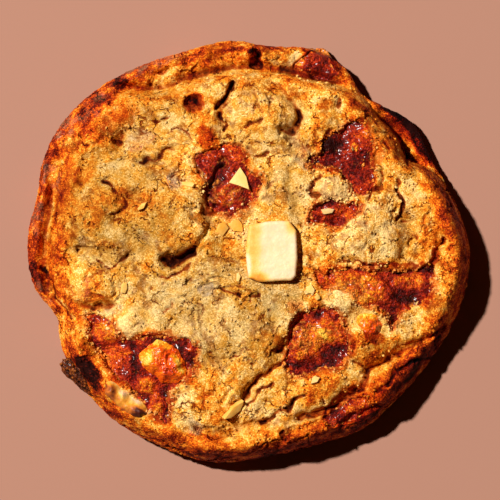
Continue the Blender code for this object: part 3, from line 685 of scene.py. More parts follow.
unit_x, unit_y, net_faces, net_rim = round_net(TOP_RINGS, WALL_RINGS, WALL_WIDTH)
net_reach = rim_at(unit_x, unit_y)[2] - SKIN_INSET
net_x, net_y = unit_x * net_reach, unit_y * net_reach
cuts = cut_depth(net_x, net_y)
fine_cuts = crack_cut(*wander(net_x, net_y, CUT_SEED), FINE_CRACKS)
top_z = body_height(net_x, net_y) - cuts - bed_depth(net_x, net_y)
print("net:", len(net_x), "points,", len(net_faces), "triangles")

# %% [markdown]
# ## Small helpers for nodes
#
# Node trees read best when each node is made on one line with its values and its links. These
# helpers do that for shaders and for Geometry Nodes alike. A socket knows the tree it is in, so
# a node that works something out from sockets is put into their tree.

# %% Node helpers


def fill(node, inputs):
    """Gives each named input a value, or a link where the value is another node's socket."""
    for name, value in dict(inputs).items():
        if isinstance(value, bpy.types.NodeSocket):
            node.id_data.links.new(value, node.inputs[name])
        else:
            node.inputs[name].default_value = value


def put(tree, kind, inputs=(), **settings):
    """Adds a node, sets its fields and fills its inputs."""
    node = tree.nodes.new(kind)
    for field, value in settings.items():
        setattr(node, field, value)
    fill(node, inputs)
    return node


def calc(operation, *values, clamp=False):
    """Adds, multiplies or compares numbers and sockets, at least one of them a socket."""
    tree = next(value.id_data for value in values if isinstance(value, bpy.types.NodeSocket))
    inputs = dict(enumerate(values))
    return put(tree, "ShaderNodeMath", inputs, operation=operation, use_clamp=clamp).outputs[0]


plus = partial(calc, "ADD")
minus = partial(calc, "SUBTRACT")
times = partial(calc, "MULTIPLY")
over = partial(calc, "DIVIDE")
larger = partial(calc, "MAXIMUM")


def swing(value, reach):
    """Noise between 0 and 1, turned into a swing round nothing."""
    return times(minus(value, 0.5), reach)


def between(value, low, high, to_low=0.0, to_high=1.0):
    """Smooth step of a value from low to high."""
    inputs = {0: value, 1: low, 2: high, 3: to_low, 4: to_high}
    steps = {"interpolation_type": "SMOOTHSTEP"}
    return put(value.id_data, "ShaderNodeMapRange", inputs, **steps).outputs[0]


def blend_colour(share, under, top, way="MIX"):
    inputs = {0: share, 6: under, 7: top}
    return put(under.id_data, "ShaderNodeMix", inputs, data_type="RGBA", blend_type=way).outputs[2]


tint = partial(blend_colour, way="MULTIPLY")


def soft_noise(place, scale, detail=2.0, rough=0.5, kind=0):
    """Noise between 0 and 1; the kind Color gives three such numbers at once."""
    inputs = {"Vector": place, "Scale": scale, "Detail": detail, "Roughness": rough}
    return put(place.id_data, "ShaderNodeTexNoise", inputs).outputs[kind]


def cells(place, scale, detail=0.0, feature="F1"):
    """A pattern of cells: how far each place is from a middle or border, and a draw per cell."""
    inputs = {"Vector": place, "Scale": scale, "Detail": detail}
    return put(place.id_data, "ShaderNodeTexVoronoi", inputs, feature=feature).outputs


def vector_math(operation, vector, inputs):
    inputs = {0: vector, **inputs}
    return put(vector.id_data, "ShaderNodeVectorMath", inputs, operation=operation).outputs[0]


def scaled(vector, size):
    return vector_math("SCALE", vector, {"Scale": size})


def nudged(place, push, reach):
    """A place moved by a noise colour, so that what is drawn there wavers."""
    return vector_math("ADD", place, {1: scaled(push, reach)})


def first_of(vector):
    """The first of three numbers, as a random draw for each cell."""
    return put(vector.id_data, "ShaderNodeSeparateXYZ", {0: vector}).outputs[0]


def new_group(kind, name, inputs, outputs):
    """An empty node group with named sockets, given as name: (type, default)."""
    group = bpy.data.node_groups.new(name, kind)
    for label, (socket, default) in inputs.items():
        made = group.interface.new_socket(label, in_out="INPUT", socket_type="NodeSocket" + socket)
        if default is not None:
            made.default_value = default
    for label, socket in outputs.items():
        group.interface.new_socket(label, in_out="OUTPUT", socket_type="NodeSocket" + socket)
    given = group.nodes.new("NodeGroupInput").outputs
    return group, given, group.nodes.new("NodeGroupOutput")


# %% [markdown]
# ## Colour groups
#
# Baked crumb is not one colour: a grain of flour or sugar is pale. The pore beside it is a small hollow
# that the crust paints dark as shade.
# That speckle shows in the crust, in the crumbs and, weaker, in the toffee and the chocolate, so
# it is a node group that gives a tone, a mask of pores and a height for the bump.

# %% Speckle of crumb and pores
MEAN_GRAIN = 0.56          # grain that leaves the tone in the middle of its range
MEAN_TONE = 1.08
TONE_RANGE = (0.5, 1.6)

SPECKLE, given, result = new_group(
    "ShaderNodeTree", "crumb_speckle",
    {
        "Grains per metre": ("Float", 2000.0), "Contrast": ("Float", 1.0),
        "Pore share": ("Float", 0.2),
    },
    {"Tone": "Float", "Grains": "Float", "Pores": "Float", "Height": "Float"},
)
place = put(SPECKLE, "ShaderNodeTexCoord").outputs["Object"]
fine = put(SPECKLE, "ShaderNodeTexNoise", {
    "Vector": place, "Scale": times(given["Grains per metre"], 1.6), "Detail": 1.0,
}).outputs
flour = cells(nudged(place, fine["Color"], 0.0004), given["Grains per metre"])
dome = minus(1.0, between(flour["Distance"], 0.15, 0.8))
grain = plus(times(first_of(flour["Color"]), 0.42), times(dome, 0.2))
grain = plus(grain, times(fine[0], 0.5))
pore = cells(place, times(given["Grains per metre"], 0.36))["Distance"]
pore_size = times(given["Pore share"], between(soft_noise(place, 260.0, 3.0), 0.46, 0.66, 0.02, 1.5))
pores = minus(1.0, between(pore, times(pore_size, 0.4), pore_size))
spread = times(minus(grain, MEAN_GRAIN), given["Contrast"])
tone = plus(times(spread, 1.5), MEAN_TONE)
fill(result, {
    "Tone": calc("MINIMUM", larger(tone, TONE_RANGE[0]), TONE_RANGE[1]),
    "Grains": between(grain, 0.58, 0.74),
    "Pores": pores,
    "Height": minus(grain, pores),
})


def add_speckle(tree, per_metre, contrast, pore_share):
    inputs = {"Grains per metre": per_metre, "Contrast": contrast, "Pore share": pore_share}
    return put(tree, "ShaderNodeGroup", inputs, node_tree=SPECKLE).outputs


# %% [markdown]
# Toffee that boils and sets is dark where it lies thick and amber where it is thin, with small
# bubbles everywhere. The pools, the nugget and the burnt drop share one group for that.

# %% Bubbles and clouds of set toffee
CLOUDS, given, result = new_group(
    "ShaderNodeTree", "set_toffee_clouds",
    {"Amber": ("Float", 0.0), "Cloud size": ("Float", 0.002), "Cloud strength": ("Float", 0.4)},
    {"Amber": "Float", "Height": "Float"},
)
place = put(CLOUDS, "ShaderNodeTexCoord").outputs["Object"]
per_metre = over(1.0, given["Cloud size"])
cloud = soft_noise(place, per_metre, 3.0, 0.65)
both = plus(times(cloud, 0.5), times(soft_noise(place, times(per_metre, 3.6), 1.0), 0.5))
swell = times(swing(both, 2.6), given["Cloud strength"])
fill(result, {"Amber": plus(swell, given["Amber"]), "Height": both})

# %% Material helpers


def new_material(name):
    made = bpy.data.materials.new(name)
    made.use_nodes = True
    return made, made.node_tree, made.node_tree.nodes["Principled BSDF"]


def attribute(tree, name):
    return put(tree, "ShaderNodeAttribute", attribute_name=name).outputs["Fac"]


def object_place(tree):
    return put(tree, "ShaderNodeTexCoord").outputs["Object"]


def ramp(value, stops):
    """Colour along (place, (red, green, blue)) stops, in linear values."""
    node = put(value.id_data, "ShaderNodeValToRGB", {"Fac": value})
    marks = node.color_ramp.elements
    while len(marks) < len(stops):
        marks.new(0.5)
    for mark, (at, colour) in zip(marks, stops):
        mark.position = at
        mark.color = (*colour, 1)
    return node.outputs["Color"]


def bump(height, strength, distance):
    inputs = {"Height": height, "Strength": strength, "Distance": distance}
    return put(height.id_data, "ShaderNodeBump", inputs).outputs["Normal"]


# %% [markdown]
# ## The crust's colour
#
# Browning is a number between raw and burnt. It is worked out per point of the net below, from
# where the dough is thin, high or near the rim, and kept in the mesh. The material turns the
# number into a colour, so that pale middle and dark rim are one recipe.

# %% How browned the crust is
BROWNING = (
    (0.00, (0.99, 0.76, 0.42)),
    (0.20, (0.96, 0.58, 0.165)),
    (0.38, (0.90, 0.375, 0.032)),
    (0.52, (0.80, 0.175, 0.006)),
    (0.66, (0.56, 0.064, 0.003)),
    (0.80, (0.23, 0.012, 0.002)),
    (1.00, (0.02, 0.002, 0.001)),
)
RAWEST = 0.15              # nothing on the cookie is paler than this

crust, tree, shader = new_material("baked_crust")
place = object_place(tree)
speckle = add_speckle(tree, 3100, 1.0, 0.30)
mottle = soft_noise(place, 420.0, 1.5, 0.6)
even = plus(times(attribute(tree, "dull"), -0.5), 1.0)
uneven = plus(swing(mottle, 0.72), times(minus(MEAN_TONE, speckle["Tone"]), 0.16))
browned = plus(attribute(tree, "browning"), times(uneven, even))
browned = plus(browned, swing(soft_noise(place, 120.0), 0.40))
browned = minus(browned, times(speckle["Grains"], 0.09))
colour = ramp(larger(browned, RAWEST), BROWNING)

# %% Hairline cracks in the crust
# They are the borders of wavering cells, opened only where a slow noise is high.
# The crust tints them dark: painted shade in the cracks, which also dip in the bump.
HAIRLINE_SPACING = 0.0046

wavering = nudged(place, soft_noise(place, 420.0, 3.0, kind="Color"), 0.004)
border = cells(wavering, 1 / HAIRLINE_SPACING, feature="DISTANCE_TO_EDGE")["Distance"]
opened = between(soft_noise(place, 210.0), 0.50, 0.68, 0.0005, 0.05)
hairline = minus(1.0, over(border, opened), clamp=True)
hairline = times(hairline, between(mottle, 0.42, 0.6, 0.1, 1.3), clamp=True)

# %% Tints of the crust
DULL_TINT = (0.67, 0.70, 0.80, 1)
# The next colour is a painted sheen: a pale pink highlight laid into the crust's colour.
PAINTED_SHEEN_COLOUR = (0.92, 0.40, 0.17, 1)
# The next tint is painted shade, with duller crust, in the hollows between swellings.
VALLEY_SHADE_AND_DULL_TINT = (0.88, 0.80, 0.58, 1)
GREY_COLOUR = (0.33, 0.25, 0.20, 1)
# The next tint paints shade into pores, pits, cracks and gaps between crumbs.
HOLLOW_SHADE_TINT = (0.30, 0.10, 0.03, 1)
# Masks that tint in two steps: from, to, tint.
STAIN_TINTS = ((0.1, 0.5, (0.80, 0.42, 0.22, 1)), (0.5, 0.95, (0.50, 0.20, 0.20, 1)))
# Painted shade in creases and in the crevice under the crown's edge, over crust that is browner there:
# from, to, tint.
CREASE_SHADE_TINTS = ((0.1, 0.6, (0.42, 0.14, 0.05, 1)), (0.5, 1.0, (0.10, 0.04, 0.03, 1)))
tearing = times(soft_noise(place, 620.0, 3.0), 2.0)


def torn(name, low, high):
    """A mask kept in the mesh, its edge torn by noise."""
    return between(times(attribute(tree, name), tearing), low, high)


colour = tint(attribute(tree, "dull"), colour, DULL_TINT)
# Painted highlight: a pale pink sheen blended into the colour where the rim is glossy.
painted_sheen = times(attribute(tree, "sheen"), between(mottle, 0.42, 0.62, 0.0, 0.315))
colour = blend_colour(painted_sheen, colour, PAINTED_SHEEN_COLOUR)
# Painted shade, and duller crust, in the hollows between swellings.
colour = tint(attribute(tree, "valley"), colour, VALLEY_SHADE_AND_DULL_TINT)
colour = blend_colour(times(torn("grey", 0.0, 1.2), 0.75), colour, GREY_COLOUR)
colour = tint(0.85, colour, plus(speckle["Tone"], 0.07))
for low, high, shade in STAIN_TINTS:
    colour = tint(torn("stain", low, high), colour, shade)
# Painted shade in small hollows: pores, pits, cracks, gaps between crumbs and hairlines turn dark brown.
dark = larger(larger(times(speckle["Pores"], 0.85), attribute(tree, "hollow_shade")), hairline)
colour = tint(dark, colour, HOLLOW_SHADE_TINT)
# Painted shade: creases and the crevice under the crown's edge turn dark red-brown, then near black.
for low, high, shade in CREASE_SHADE_TINTS:
    colour = tint(torn("fold", low, high), colour, shade)
fill(shader, {
    "Base Color": colour,
    "Roughness": between(mottle, 0.35, 0.65, 0.5, 0.75),
    "Normal": bump(minus(speckle["Height"], hairline), 1.0, 0.00036),
    "Coat Weight": times(attribute(tree, "sheen"), 0.2),
    "Coat Roughness": 0.3,
    "Specular IOR Level": 0.07,
})
print("crust material:", len(tree.nodes), "nodes")

# %% [markdown]
# ## The toffee's colours
#
# All three kinds of toffee are melted sugar: one recipe sets their clouds and grain, and each
# kind has its own colours and gloss. Where a pool thins out at its shore, or has a film of dough
# on it, browned colours lie over the dark ones.

# %% Toffee material
TOFFEE_COLOURS = (
    (0.00, (0.030, 0.002, 0.001)),
    (0.22, (0.15, 0.004, 0.002)),
    (0.42, (0.40, 0.022, 0.003)),
    (0.58, (0.66, 0.085, 0.004)),
    (0.76, (0.88, 0.27, 0.010)),
    (1.00, (1.00, 0.58, 0.06)),
)
SHORE_COLOURS = ((0.36, (0.30, 0.050, 0.006)), (0.66, (0.82, 0.27, 0.030)))


def melted(name, cloud_size, cloud_strength, speckles, glow, bubbles):
    """A material with the clouds, grain and bubbles of melted sugar, and how amber it is."""
    made, tree, shader = new_material(name)
    inputs = {
        "Amber": attribute(tree, "amber"), "Cloud size": cloud_size, "Cloud strength": cloud_strength,
    }
    clouds = put(tree, "ShaderNodeGroup", inputs, node_tree=CLOUDS).outputs
    speckle = add_speckle(tree, *speckles)
    amber = plus(clouds["Amber"], times(speckle["Grains"], glow))
    fill(shader, {"Normal": bump(plus(clouds["Height"], speckle["Height"]), *bubbles)})
    return made, shader, clouds["Height"], speckle, amber


toffee, shader, clouds, speckle, amber = melted(
    "set_toffee", 0.0026, 0.4, (2200, 0.9, 0.2), 0.1, (1.0, 0.0007),
)
tree = toffee.node_tree
film = ramp(plus(clouds, times(speckle["Grains"], 0.12)), SHORE_COLOURS)
covered = plus(attribute(tree, "shore"), swing(soft_noise(object_place(tree), 900.0), 2.4))
covered = between(covered, 0.35, 1.0, 0.0, 0.9)
colour = blend_colour(covered, ramp(amber, TOFFEE_COLOURS), film)
fill(shader, {
    "Base Color": tint(1.0, colour, speckle["Tone"]),
    "Roughness": 0.42, "Specular IOR Level": 0.16,
    "Coat Weight": 0.16, "Coat Roughness": 0.16,
})
print("toffee material:", len(tree.nodes), "nodes")

# %% [markdown]
# ## The dough
#
# The crust is one closed skin: the upper surface, a side that rolls under, and a flat
# underside that the tray baked smooth. Rings of points are walked down the side and joined.

# %% Sides and underside
SIDE_RINGS = 20
BASE_RINGS = 48
BASE_RELIEF = 0.12
WAIST_PULL = 0.4           # how far the side draws in between its widest line and the tray


def zip_loops(outer, inner):
    """Triangles between two closed loops that run the same way round, of unlike counts."""
    faces, i, j = [], 0, 0
    while i < len(outer) or j < len(inner):
        a, b = outer[i % len(outer)], inner[j % len(inner)]
        if i < len(outer) and (i + 1) * len(inner) <= (j + 1) * len(outer):
            i += 1
            faces.append((a, outer[i % len(outer)], b))
        else:
            j += 1
            faces.append((a, inner[j % len(inner)], b))
    return faces


def side_rings(edge):
    """Rings of points from the widest line down to the tray."""
    reach = np.hypot(edge[:, 0], edge[:, 1])
    for k in range(1, SIDE_RINGS + 1):
        turn = math.radians(90 * k / SIDE_RINGS)
        z = edge[:, 2] * (1 - math.sin(turn))
        share = 1 - BASE_TUCK * (1 - math.cos(turn)) / reach
        x, y = edge[:, 0] * share, edge[:, 1] * share
        push = roughness(x, y, z, SIDE_NOISE) * math.sin(turn) ** 2 - WAIST_PULL * math.sin(2 * turn)
        share = 1 + push / reach
        yield np.stack([x * share, y * share, z], axis=1)


def underside(loop):
    """A flat net inside the lowest ring, faintly rough as the tray leaves it."""
    x, y, faces, rim = round_net(BASE_RINGS, 0.1, 0.1)
    reach = reach_of(loop, np.arctan2(y, x)) * (1 - 1 / TOP_RINGS)
    flat = blend_up(1 - np.hypot(x, y), 0.1)
    z = BASE_RELIEF * flat * (0.5 + 0.5 * noise(x * reach, y * reach, 0, 1.3, 31))
    return np.stack([x * reach, y * reach, z], axis=1), faces, rim


def dough_skin():
    """Points and triangles of the top, the side and the underside."""
    points, faces = [np.stack([net_x, net_y, top_z], axis=1)], [net_faces]
    count, upper, total = 6 * TOP_RINGS, net_rim, len(net_x)
    for ring in side_rings(points[0][net_rim:]):
        points.append(ring)
        faces.append(band(upper, total, count))
        upper, total = total, total + count
    base, base_faces, rim = underside(points[-1])
    points.append(base)
    faces.append(base_faces[:, ::-1] + total)
    lowest, inner = range(upper, upper + count), range(total + rim, total + len(base))
    faces.append(np.array(zip_loops(lowest, inner))[:, ::-1])
    return np.concatenate(points), np.concatenate(faces)


dough_points, dough_faces = dough_skin()
print("dough:", len(dough_points), "points,", len(dough_faces), "triangles")

# %% [markdown]
# Browning, dullness, grey patches and toffee stain are worked out for every point, and so is
# painted shade in creases, in the hollows between swellings and under the crown's edge, and a
# painted sheen on the glossy rim. The thin rim bakes darkest, the thick wet middle stays dull, and
# ovals set the regions that differ: high nubs are pale, dough beside toffee is stained red, and a
# few ovals paint shade on the skirt, in grooves and in holes.

# %% Browning of each region
INNER_BAKE = 0.33
# Browning of the rim and width of the browned border, at angles anticlockwise from +X.
RIM_BAKE = (
    (0, 0.64), (25, 0.67), (45, 0.66), (60, 0.60), (75, 0.56), (95, 0.56), (120, 0.65),
    (140, 0.72), (150, 0.71), (165, 0.64), (185, 0.62), (200, 0.60), (225, 0.60), (240, 0.60),
    (255, 0.71), (275, 0.75), (295, 0.73), (315, 0.69), (335, 0.68),
)
RIM_WIDTH = (
    (0, 8.0), (30, 7.0), (60, 6.0), (95, 9.0), (125, 10.0), (140, 13.0), (155, 14.0), (180, 12.0),
    (205, 9.0), (230, 6.0), (255, 9.5), (270, 9.0), (285, 9.5), (315, 10.0), (335, 9.0),
)
BAKE_NOISE = ((9.0, 0.07, 81), (4.0, 0.06, 83), (1.9, 0.05, 85))
EDGE_BAKE = 0.08           # the crown's edge above the ledge
LEDGE_BAKE = 0.05          # the bare ledge
UNDER_BAKE = 0.17          # the side, more and more down to the tray
# Dark streaks that run along the rim: width across, length along, strength, seed.
STREAKS = ((1.2, 7.0, 0.16, 87), (0.6, 3.4, 0.12, 89))
STREAK_REACH = ((0, 3.0), (40, 4.0), (90, 6.0), (130, 9.0), (180, 9.0), (215, 7.0), (250, 2.0), (320, 3.0))
# Regions that differ: x, y, half length, half width, tilt, change.
BAKED_SPOTS = (
    (-27, -17, 4.4, 3.2, 10, -0.20),
    (-31.2, -19.6, 2.6, 2.4, 0, -0.26),
    (19, 14, 4.2, 3.4, -20, -0.22),
    (20.5, -11.5, 4.2, 3.2, -30, -0.20),
    (27, 3, 9, 8, 0, -0.16),
    (17, 34, 14, 5, -25, 0.05),
    (-34, -10.5, 6, 3.4, 15, 0.14),
    (-42, 3, 3.4, 18, 0, 0.06),
    (-27, 8, 14, 13, 0, 0.06),
    (-22, 28, 14, 8, 35, 0.06),
    (-6, -12, 20, 13, 0, -0.08),
    # These three darken the skirt on the upper right: painted shadow of the crown's edge.
    (31, 33.6, 9, 2.2, -38, 0.24),
    (39, 24.5, 7, 2.4, -58, 0.24),
    (36.5, 26, 13, 3.2, -50, 0.12),
    (-35.6, -28.2, 6.4, 2.6, -48, 0.45),
    (32, -26, 9, 8, 35, 0.12),
    (14, -31, 13, 4, 18, 0.07),
    (2, 30, 12, 8, 0, -0.06),
    (-30, 10, 12, 10, 0, 0.02),
    (-8.8, 23.6, 6.4, 3.6, -65, 0.2),
    # These two darken the grooves round the left swelling: painted shade.
    (-36.6, 17.4, 5.4, 1.8, 65, 0.14),
    (-31.4, 21.6, 3.6, 1.5, 10, 0.12),
    (-31, -27.6, 9, 2.2, -38, 0.12),
    (-37.6, -22.6, 3.4, 5, 20, 0.14),
    (-33, 33, 5, 2, 40, 0.14),
    # A hole in the crevice under the crown, darkened: painted shade.
    (-28.6, 37.8, 2.6, 1.6, 35, 0.35),
    (14, 45.4, 4.4, 1.6, -20, 0.40),
    # The gap that the pit cuts in the upper rim, darkened: painted shade.
    (2, 44, 1.6, 3.4, 0, 0.30),
    (6, 43.4, 3, 2.4, 0, -0.12),
    (10.5, 43, 2.2, 2, 0, -0.28),
    (34, 29, 5, 2.6, -50, -0.10),
    (44, 2, 2.8, 12, 6, 0.13),
    (41.4, -13, 3, 6, -12, 0.10),
    (38, -23, 8, 3.4, 30, 0.06),
    (26.4, -22.4, 5.4, 5.6, 20, 0.12),
    (-14.4, -34.4, 2.8, 2.2, 10, -0.16),
    (-14, -38.4, 3, 2, 0, -0.18),
    (-8, -33, 6, 3, 30, 0.03),
    (12, -33, 9, 3, 30, 0.04),
)
DULL_SPOTS = (
    (-6, -12, 24, 18, 0, 0.8),
    (-30, 9, 18, 16, 0, 1.1),
    (-22, 28, 14, 10, 30, 0.6),
    (0, 30, 12, 10, 0, 0.3),
    (10.5, 20, 4, 16, -5, 0.45),
    (6, 12, 10, 8, 0, 0.3),
    (36, 3, 3.4, 10, 0, 0.2),
    (4, -31, 8, 6, 30, 0.15),
    (-30, -6, 8, 6, 0, 0.3),
)
GREY_SPOTS = (
    (-24.6, 24.6, 4.2, 3, 0, 0.5),
    (-16.6, 15.6, 2.6, 2.2, 0, 0.7),
    (-9.6, -8.2, 2.2, 2, 0, 0.7),
    (12.4, 21, 2.4, 4.4, 0, 0.5),
    (-30.6, -13.6, 3, 2, 0, 0.5),
    (10.4, 25, 1.6, 3, 0, 0.4),
    (13, 12, 2.4, 3, 0, 0.35),
    (-11.6, -39.6, 2.4, 1.4, 0, 0.6),
)
STAIN_SPOTS = (
    (-8.8, 23.6, 6.4, 3.6, -65, 0.45),
    (-6, 9, 4.4, 2.2, 20, 0.5),
    (-29, 29, 7, 4, 40, 0.35),
    (28, 22, 3, 5, 0, 0.45),
    (10.4, -12.6, 2.4, 2, 0, 0.35),
    # These three darken the crack at the east rim and the line along the upper shore of the east pool:
    # painted shade.
    (42, -1.5, 1.2, 3.6, 0, 1.0),
    (36, -3.4, 6, 0.9, 4, 0.9),
    (25, -4.2, 8, 0.9, 0, 0.8),
    (-12, 33, 3, 2, 35, 1.0),
    (28, -19.6, 3.4, 1.6, -30, 0.8),
    # These two stain the skirt on the upper right dark red: painted shadow of the crown's edge.
    (31, 33.6, 8, 1.8, -38, 0.6),
    (37, 26, 12, 2.6, -52, 0.6),
    (24, -34, 10, 5, 30, 0.4),
)
STAIN_REACH = 1.5          # how far toffee soaks into the dough beside it
# Where melted sugar and fat leave the crust glossy. The same ovals also paint a pale pink sheen
# into its colour, a painted highlight.
SHEEN_SPOTS = (
    (-42, 28, 5, 4, 50, 0.8),
    (-44.4, 17, 3, 5, 15, 0.8),
    (-47.6, 9, 2.2, 7, 0, 0.5),
    (-34, 33, 7, 3, 42, 0.3),
    (-22, 42, 9, 2.4, 20, 0.8),
    (-38, -9, 3, 4, 0, 0.5),
    (-46, -12, 2.4, 6, 20, 0.35),
)


def spotted(x, y, spots):
    """The changes of all the ovals that a point lies in, added up."""
    return sum(change * blend_up(mound(x, y, *oval), 0.5) for *oval, change in spots)


def streaks(x, y, z):
    """Noise stretched along the rim and squeezed across it, and none of it in the middle."""
    angle, r, outline, _ = rim_at(x, y)
    across = outline - r + (BULGE_HEIGHT - np.minimum(z, BULGE_HEIGHT))
    along = np.radians(angle) * outline.mean()
    total = 0
    for width, length, strength, seed in STREAKS:
        rippled = across + 0.8 * noise(x, y, z, 2.4, seed + 40)
        total = total + strength * noise(rippled / width, along / length, 0, 1.0, seed)
    return total * blend_up(1 - across / around(STREAK_REACH, angle), 0.6)


def browning(x, y, z):
    """How browned the crust is by its place: pale inside, dark at the rim, the ledge and below."""
    angle, r, outline, crown_edge = rim_at(x, y)
    share = blend_up(1 - (outline - r) / around(RIM_WIDTH, angle), 1)
    value = INNER_BAKE + (around(RIM_BAKE, angle) - INNER_BAKE) * share
    at_edge = np.exp(-(((r - crown_edge + 1) / 1.8) ** 2))
    on_ledge = LEDGE_BAKE * blend_up(r - crown_edge, 1.2) + EDGE_BAKE * at_edge
    value = value + on_ledge * bare_ledge(outline, crown_edge)
    value = value + UNDER_BAKE * blend_up(6.0 - z, 5.0) * blend_up(r - outline + 5, 2)
    return value + roughness(x, y, z, BAKE_NOISE) + streaks(x, y, z)


def stain(x, y):
    """How far the dough is soaked with toffee: all of the pool's bed, and a band round it."""
    soaked = spotted(x, y, STAIN_SPOTS)
    for line in LINES.values():
        depth = inside_distance(x, y, line)
        soaked = np.maximum(soaked, blend_up(depth + STAIN_REACH, STAIN_REACH + 0.8))
    return np.clip(soaked, 0, 1)


# %% How high each spot lies above what is round it
GRID_HALF = 56.0
GRID_STEP = 0.5
VALLEY_REACH = 2.2         # size of the hollows and swellings that colour differs on
VALLEY_SCALE = 0.55
SWELL_BAKE = 0.06


def blurred(values, reach):
    """A grid smoothed by a Gaussian, through its Fourier transform."""
    waves = np.fft.fftfreq(len(values), GRID_STEP)
    keep = np.exp(-2 * (math.pi * reach) ** 2 * (waves[:, None] ** 2 + waves**2))
    return np.real(np.fft.ifft2(np.fft.fft2(values) * keep))


def read_grid(grid, x, y):
    """Values of a grid between its knots."""
    u, v = (x + GRID_HALF) / GRID_STEP, (y + GRID_HALF) / GRID_STEP
    i, j = np.floor(u).astype(int), np.floor(v).astype(int)
    s, t = u - i, v - j
    low = grid[j, i] * (1 - s) + grid[j, i + 1] * s
    high = grid[j + 1, i] * (1 - s) + grid[j + 1, i + 1] * s
    return low * (1 - t) + high * t


ticks = np.arange(-GRID_HALF, GRID_HALF, GRID_STEP)
grid_x, grid_y = np.meshgrid(ticks, ticks)
grid_z = body_height(grid_x, grid_y) - np.minimum(cut_depth(grid_x, grid_y), 1.5)
stands_out = grid_z - blurred(grid_z, VALLEY_REACH)
print("swellings up to", stands_out.max().round(2), "mm, hollows down to", stands_out.min().round(2), "mm")

# %% The dough and what it carries


def keep_values(mesh, **values):
    """Stores a number for each point of the mesh, under each given name."""
    for name, numbers in values.items():
        layer = mesh.attributes.new(name, "FLOAT", "POINT")
        layer.data.foreach_set("value", np.asarray(numbers, np.float32))


dough = add_piece(to_mesh("dough_crust", dough_points, dough_faces))
x, y, z = dough_points.T
ragged = wander(x, y, 91)
on_top = np.arange(len(x)) < len(net_x)
_, r, outline, crown_edge = rim_at(x, y)
raised = np.clip(read_grid(stands_out, x, y) / VALLEY_SCALE, -1, 1) * on_top
baked = browning(x, y, z) + on_top * spotted(*ragged, BAKED_SPOTS) + SWELL_BAKE * raised
# Painted shade, kept in the mesh: the crevice under the crown's edge, and the deep and the fine creases.
under_crown = bare_ledge(outline, crown_edge) * np.exp(-(((r - crown_edge - 0.2) / 0.8) ** 2))
fold = 0.75 * on_top * under_crown * blend_up(noise(x, y, 0, 4.0, 171) + 0.35, 0.6)
creased = np.maximum(blend_up(cuts - 0.9, 1.5), 0.8 * blend_up(fine_cuts - 0.25, 0.5))
fold[on_top] = np.maximum(fold[on_top], creased)
under_slab = on_top * blend_up(inside_distance(x, y, SLAB_BORDER) - SLAB_LIP, 0.5)
keep_values(
    dough.data, browning=baked, fold=fold,
    # painted shade and duller crust in the hollows between swellings
    valley=blend_up(-raised, 1) * blend_up(outline - r - 2.5, 3),
    dull=np.clip(on_top * spotted(*ragged, DULL_SPOTS), 0, 1),
    grey=np.clip(on_top * spotted(*ragged, GREY_SPOTS), 0, 1),
    stain=on_top * stain(*ragged),
    sheen=np.clip(spotted(*ragged, SHEEN_SPOTS), 0, 1),
    open_air=blend_up(z, 1.5) * (1 - under_slab),
)
print("browning from", baked.min().round(2), "to", baked.max().round(2))

# %% [markdown]
# ## Crumb relief with Geometry Nodes
#
# The grain of the crust follows a rule, so a node tree makes it: rounded crumbs from a cell
# pattern, burst bubbles as round pits, and hairline cracks along the edges of larger cells.
# Every size is a named input. Pits, cracks and gaps between crumbs are also stored, so that the
# colour can paint shade into them.

# %% Ends of a Geometry Nodes tree


def stored(tree, name):
    """The number that the mesh keeps under this name."""
    inputs = {"Name": name}
    return put(tree, "GeometryNodeInputNamedAttribute", inputs, data_type="FLOAT").outputs[0]


def finish_tree(geometry, finish, result):
    """Makes instances real, sets the material and hands the geometry out."""
    tree = geometry.id_data
    whole = put(tree, "GeometryNodeRealizeInstances", {0: geometry}).outputs[0]
    inputs = {"Geometry": whole, "Material": finish}
    fill(result, {"Geometry": put(tree, "GeometryNodeSetMaterial", inputs).outputs[0]})


# %% Tree for crumbs, pits and hairline cracks
relief, given, result = new_group(
    "GeometryNodeTree", "crumb_relief",
    {
        "Geometry": ("Geometry", None), "Finish": ("Material", None),
        "Crumb size": ("Float", 0.0019), "Crumb height": ("Float", 0.00029),
        "Grain size": ("Float", 0.0009), "Grain height": ("Float", 0.00020),
        "Pit spacing": ("Float", 0.0027), "Pit width": ("Float", 0.00045),
        "Pit depth": ("Float", 0.0005), "Crack spacing": ("Float", 0.0072),
        "Crack width": ("Float", 0.00028), "Crack depth": ("Float", 0.0005),
    },
    {"Geometry": "Geometry"},
)
place = put(relief, "GeometryNodeInputPosition").outputs[0]

# Rounded crumbs, and finer grains on them.
crumb = cells(place, over(1.0, given["Crumb size"]), 1.0)["Distance"]
grain = soft_noise(place, over(1.0, given["Grain size"]), 1.0)
height = times(minus(0.45, crumb), given["Crumb height"])
height = plus(height, swing(grain, given["Grain height"]))

# Burst bubbles, each of its own width.
bubble = cells(place, over(1.0, given["Pit spacing"]))
from_middle = times(bubble["Distance"], given["Pit spacing"])
pit_width = times(given["Pit width"], plus(times(first_of(bubble["Color"]), 1.5), 0.1))
pit = minus(1.0, between(from_middle, times(pit_width, 0.3), pit_width))
height = minus(height, times(pit, given["Pit depth"]))

# Cracks along the borders of wavering cells, only where a slow noise is high.
wavering = nudged(place, soft_noise(place, 500.0, kind="Color"), 0.0022)
edge = cells(wavering, over(1.0, given["Crack spacing"]), feature="DISTANCE_TO_EDGE")["Distance"]
crack = minus(1.0, between(times(edge, given["Crack spacing"]), 0.0, given["Crack width"]))
crack = times(crack, between(soft_noise(place, 130.0), 0.48, 0.62))
height = minus(height, times(crack, given["Crack depth"]))

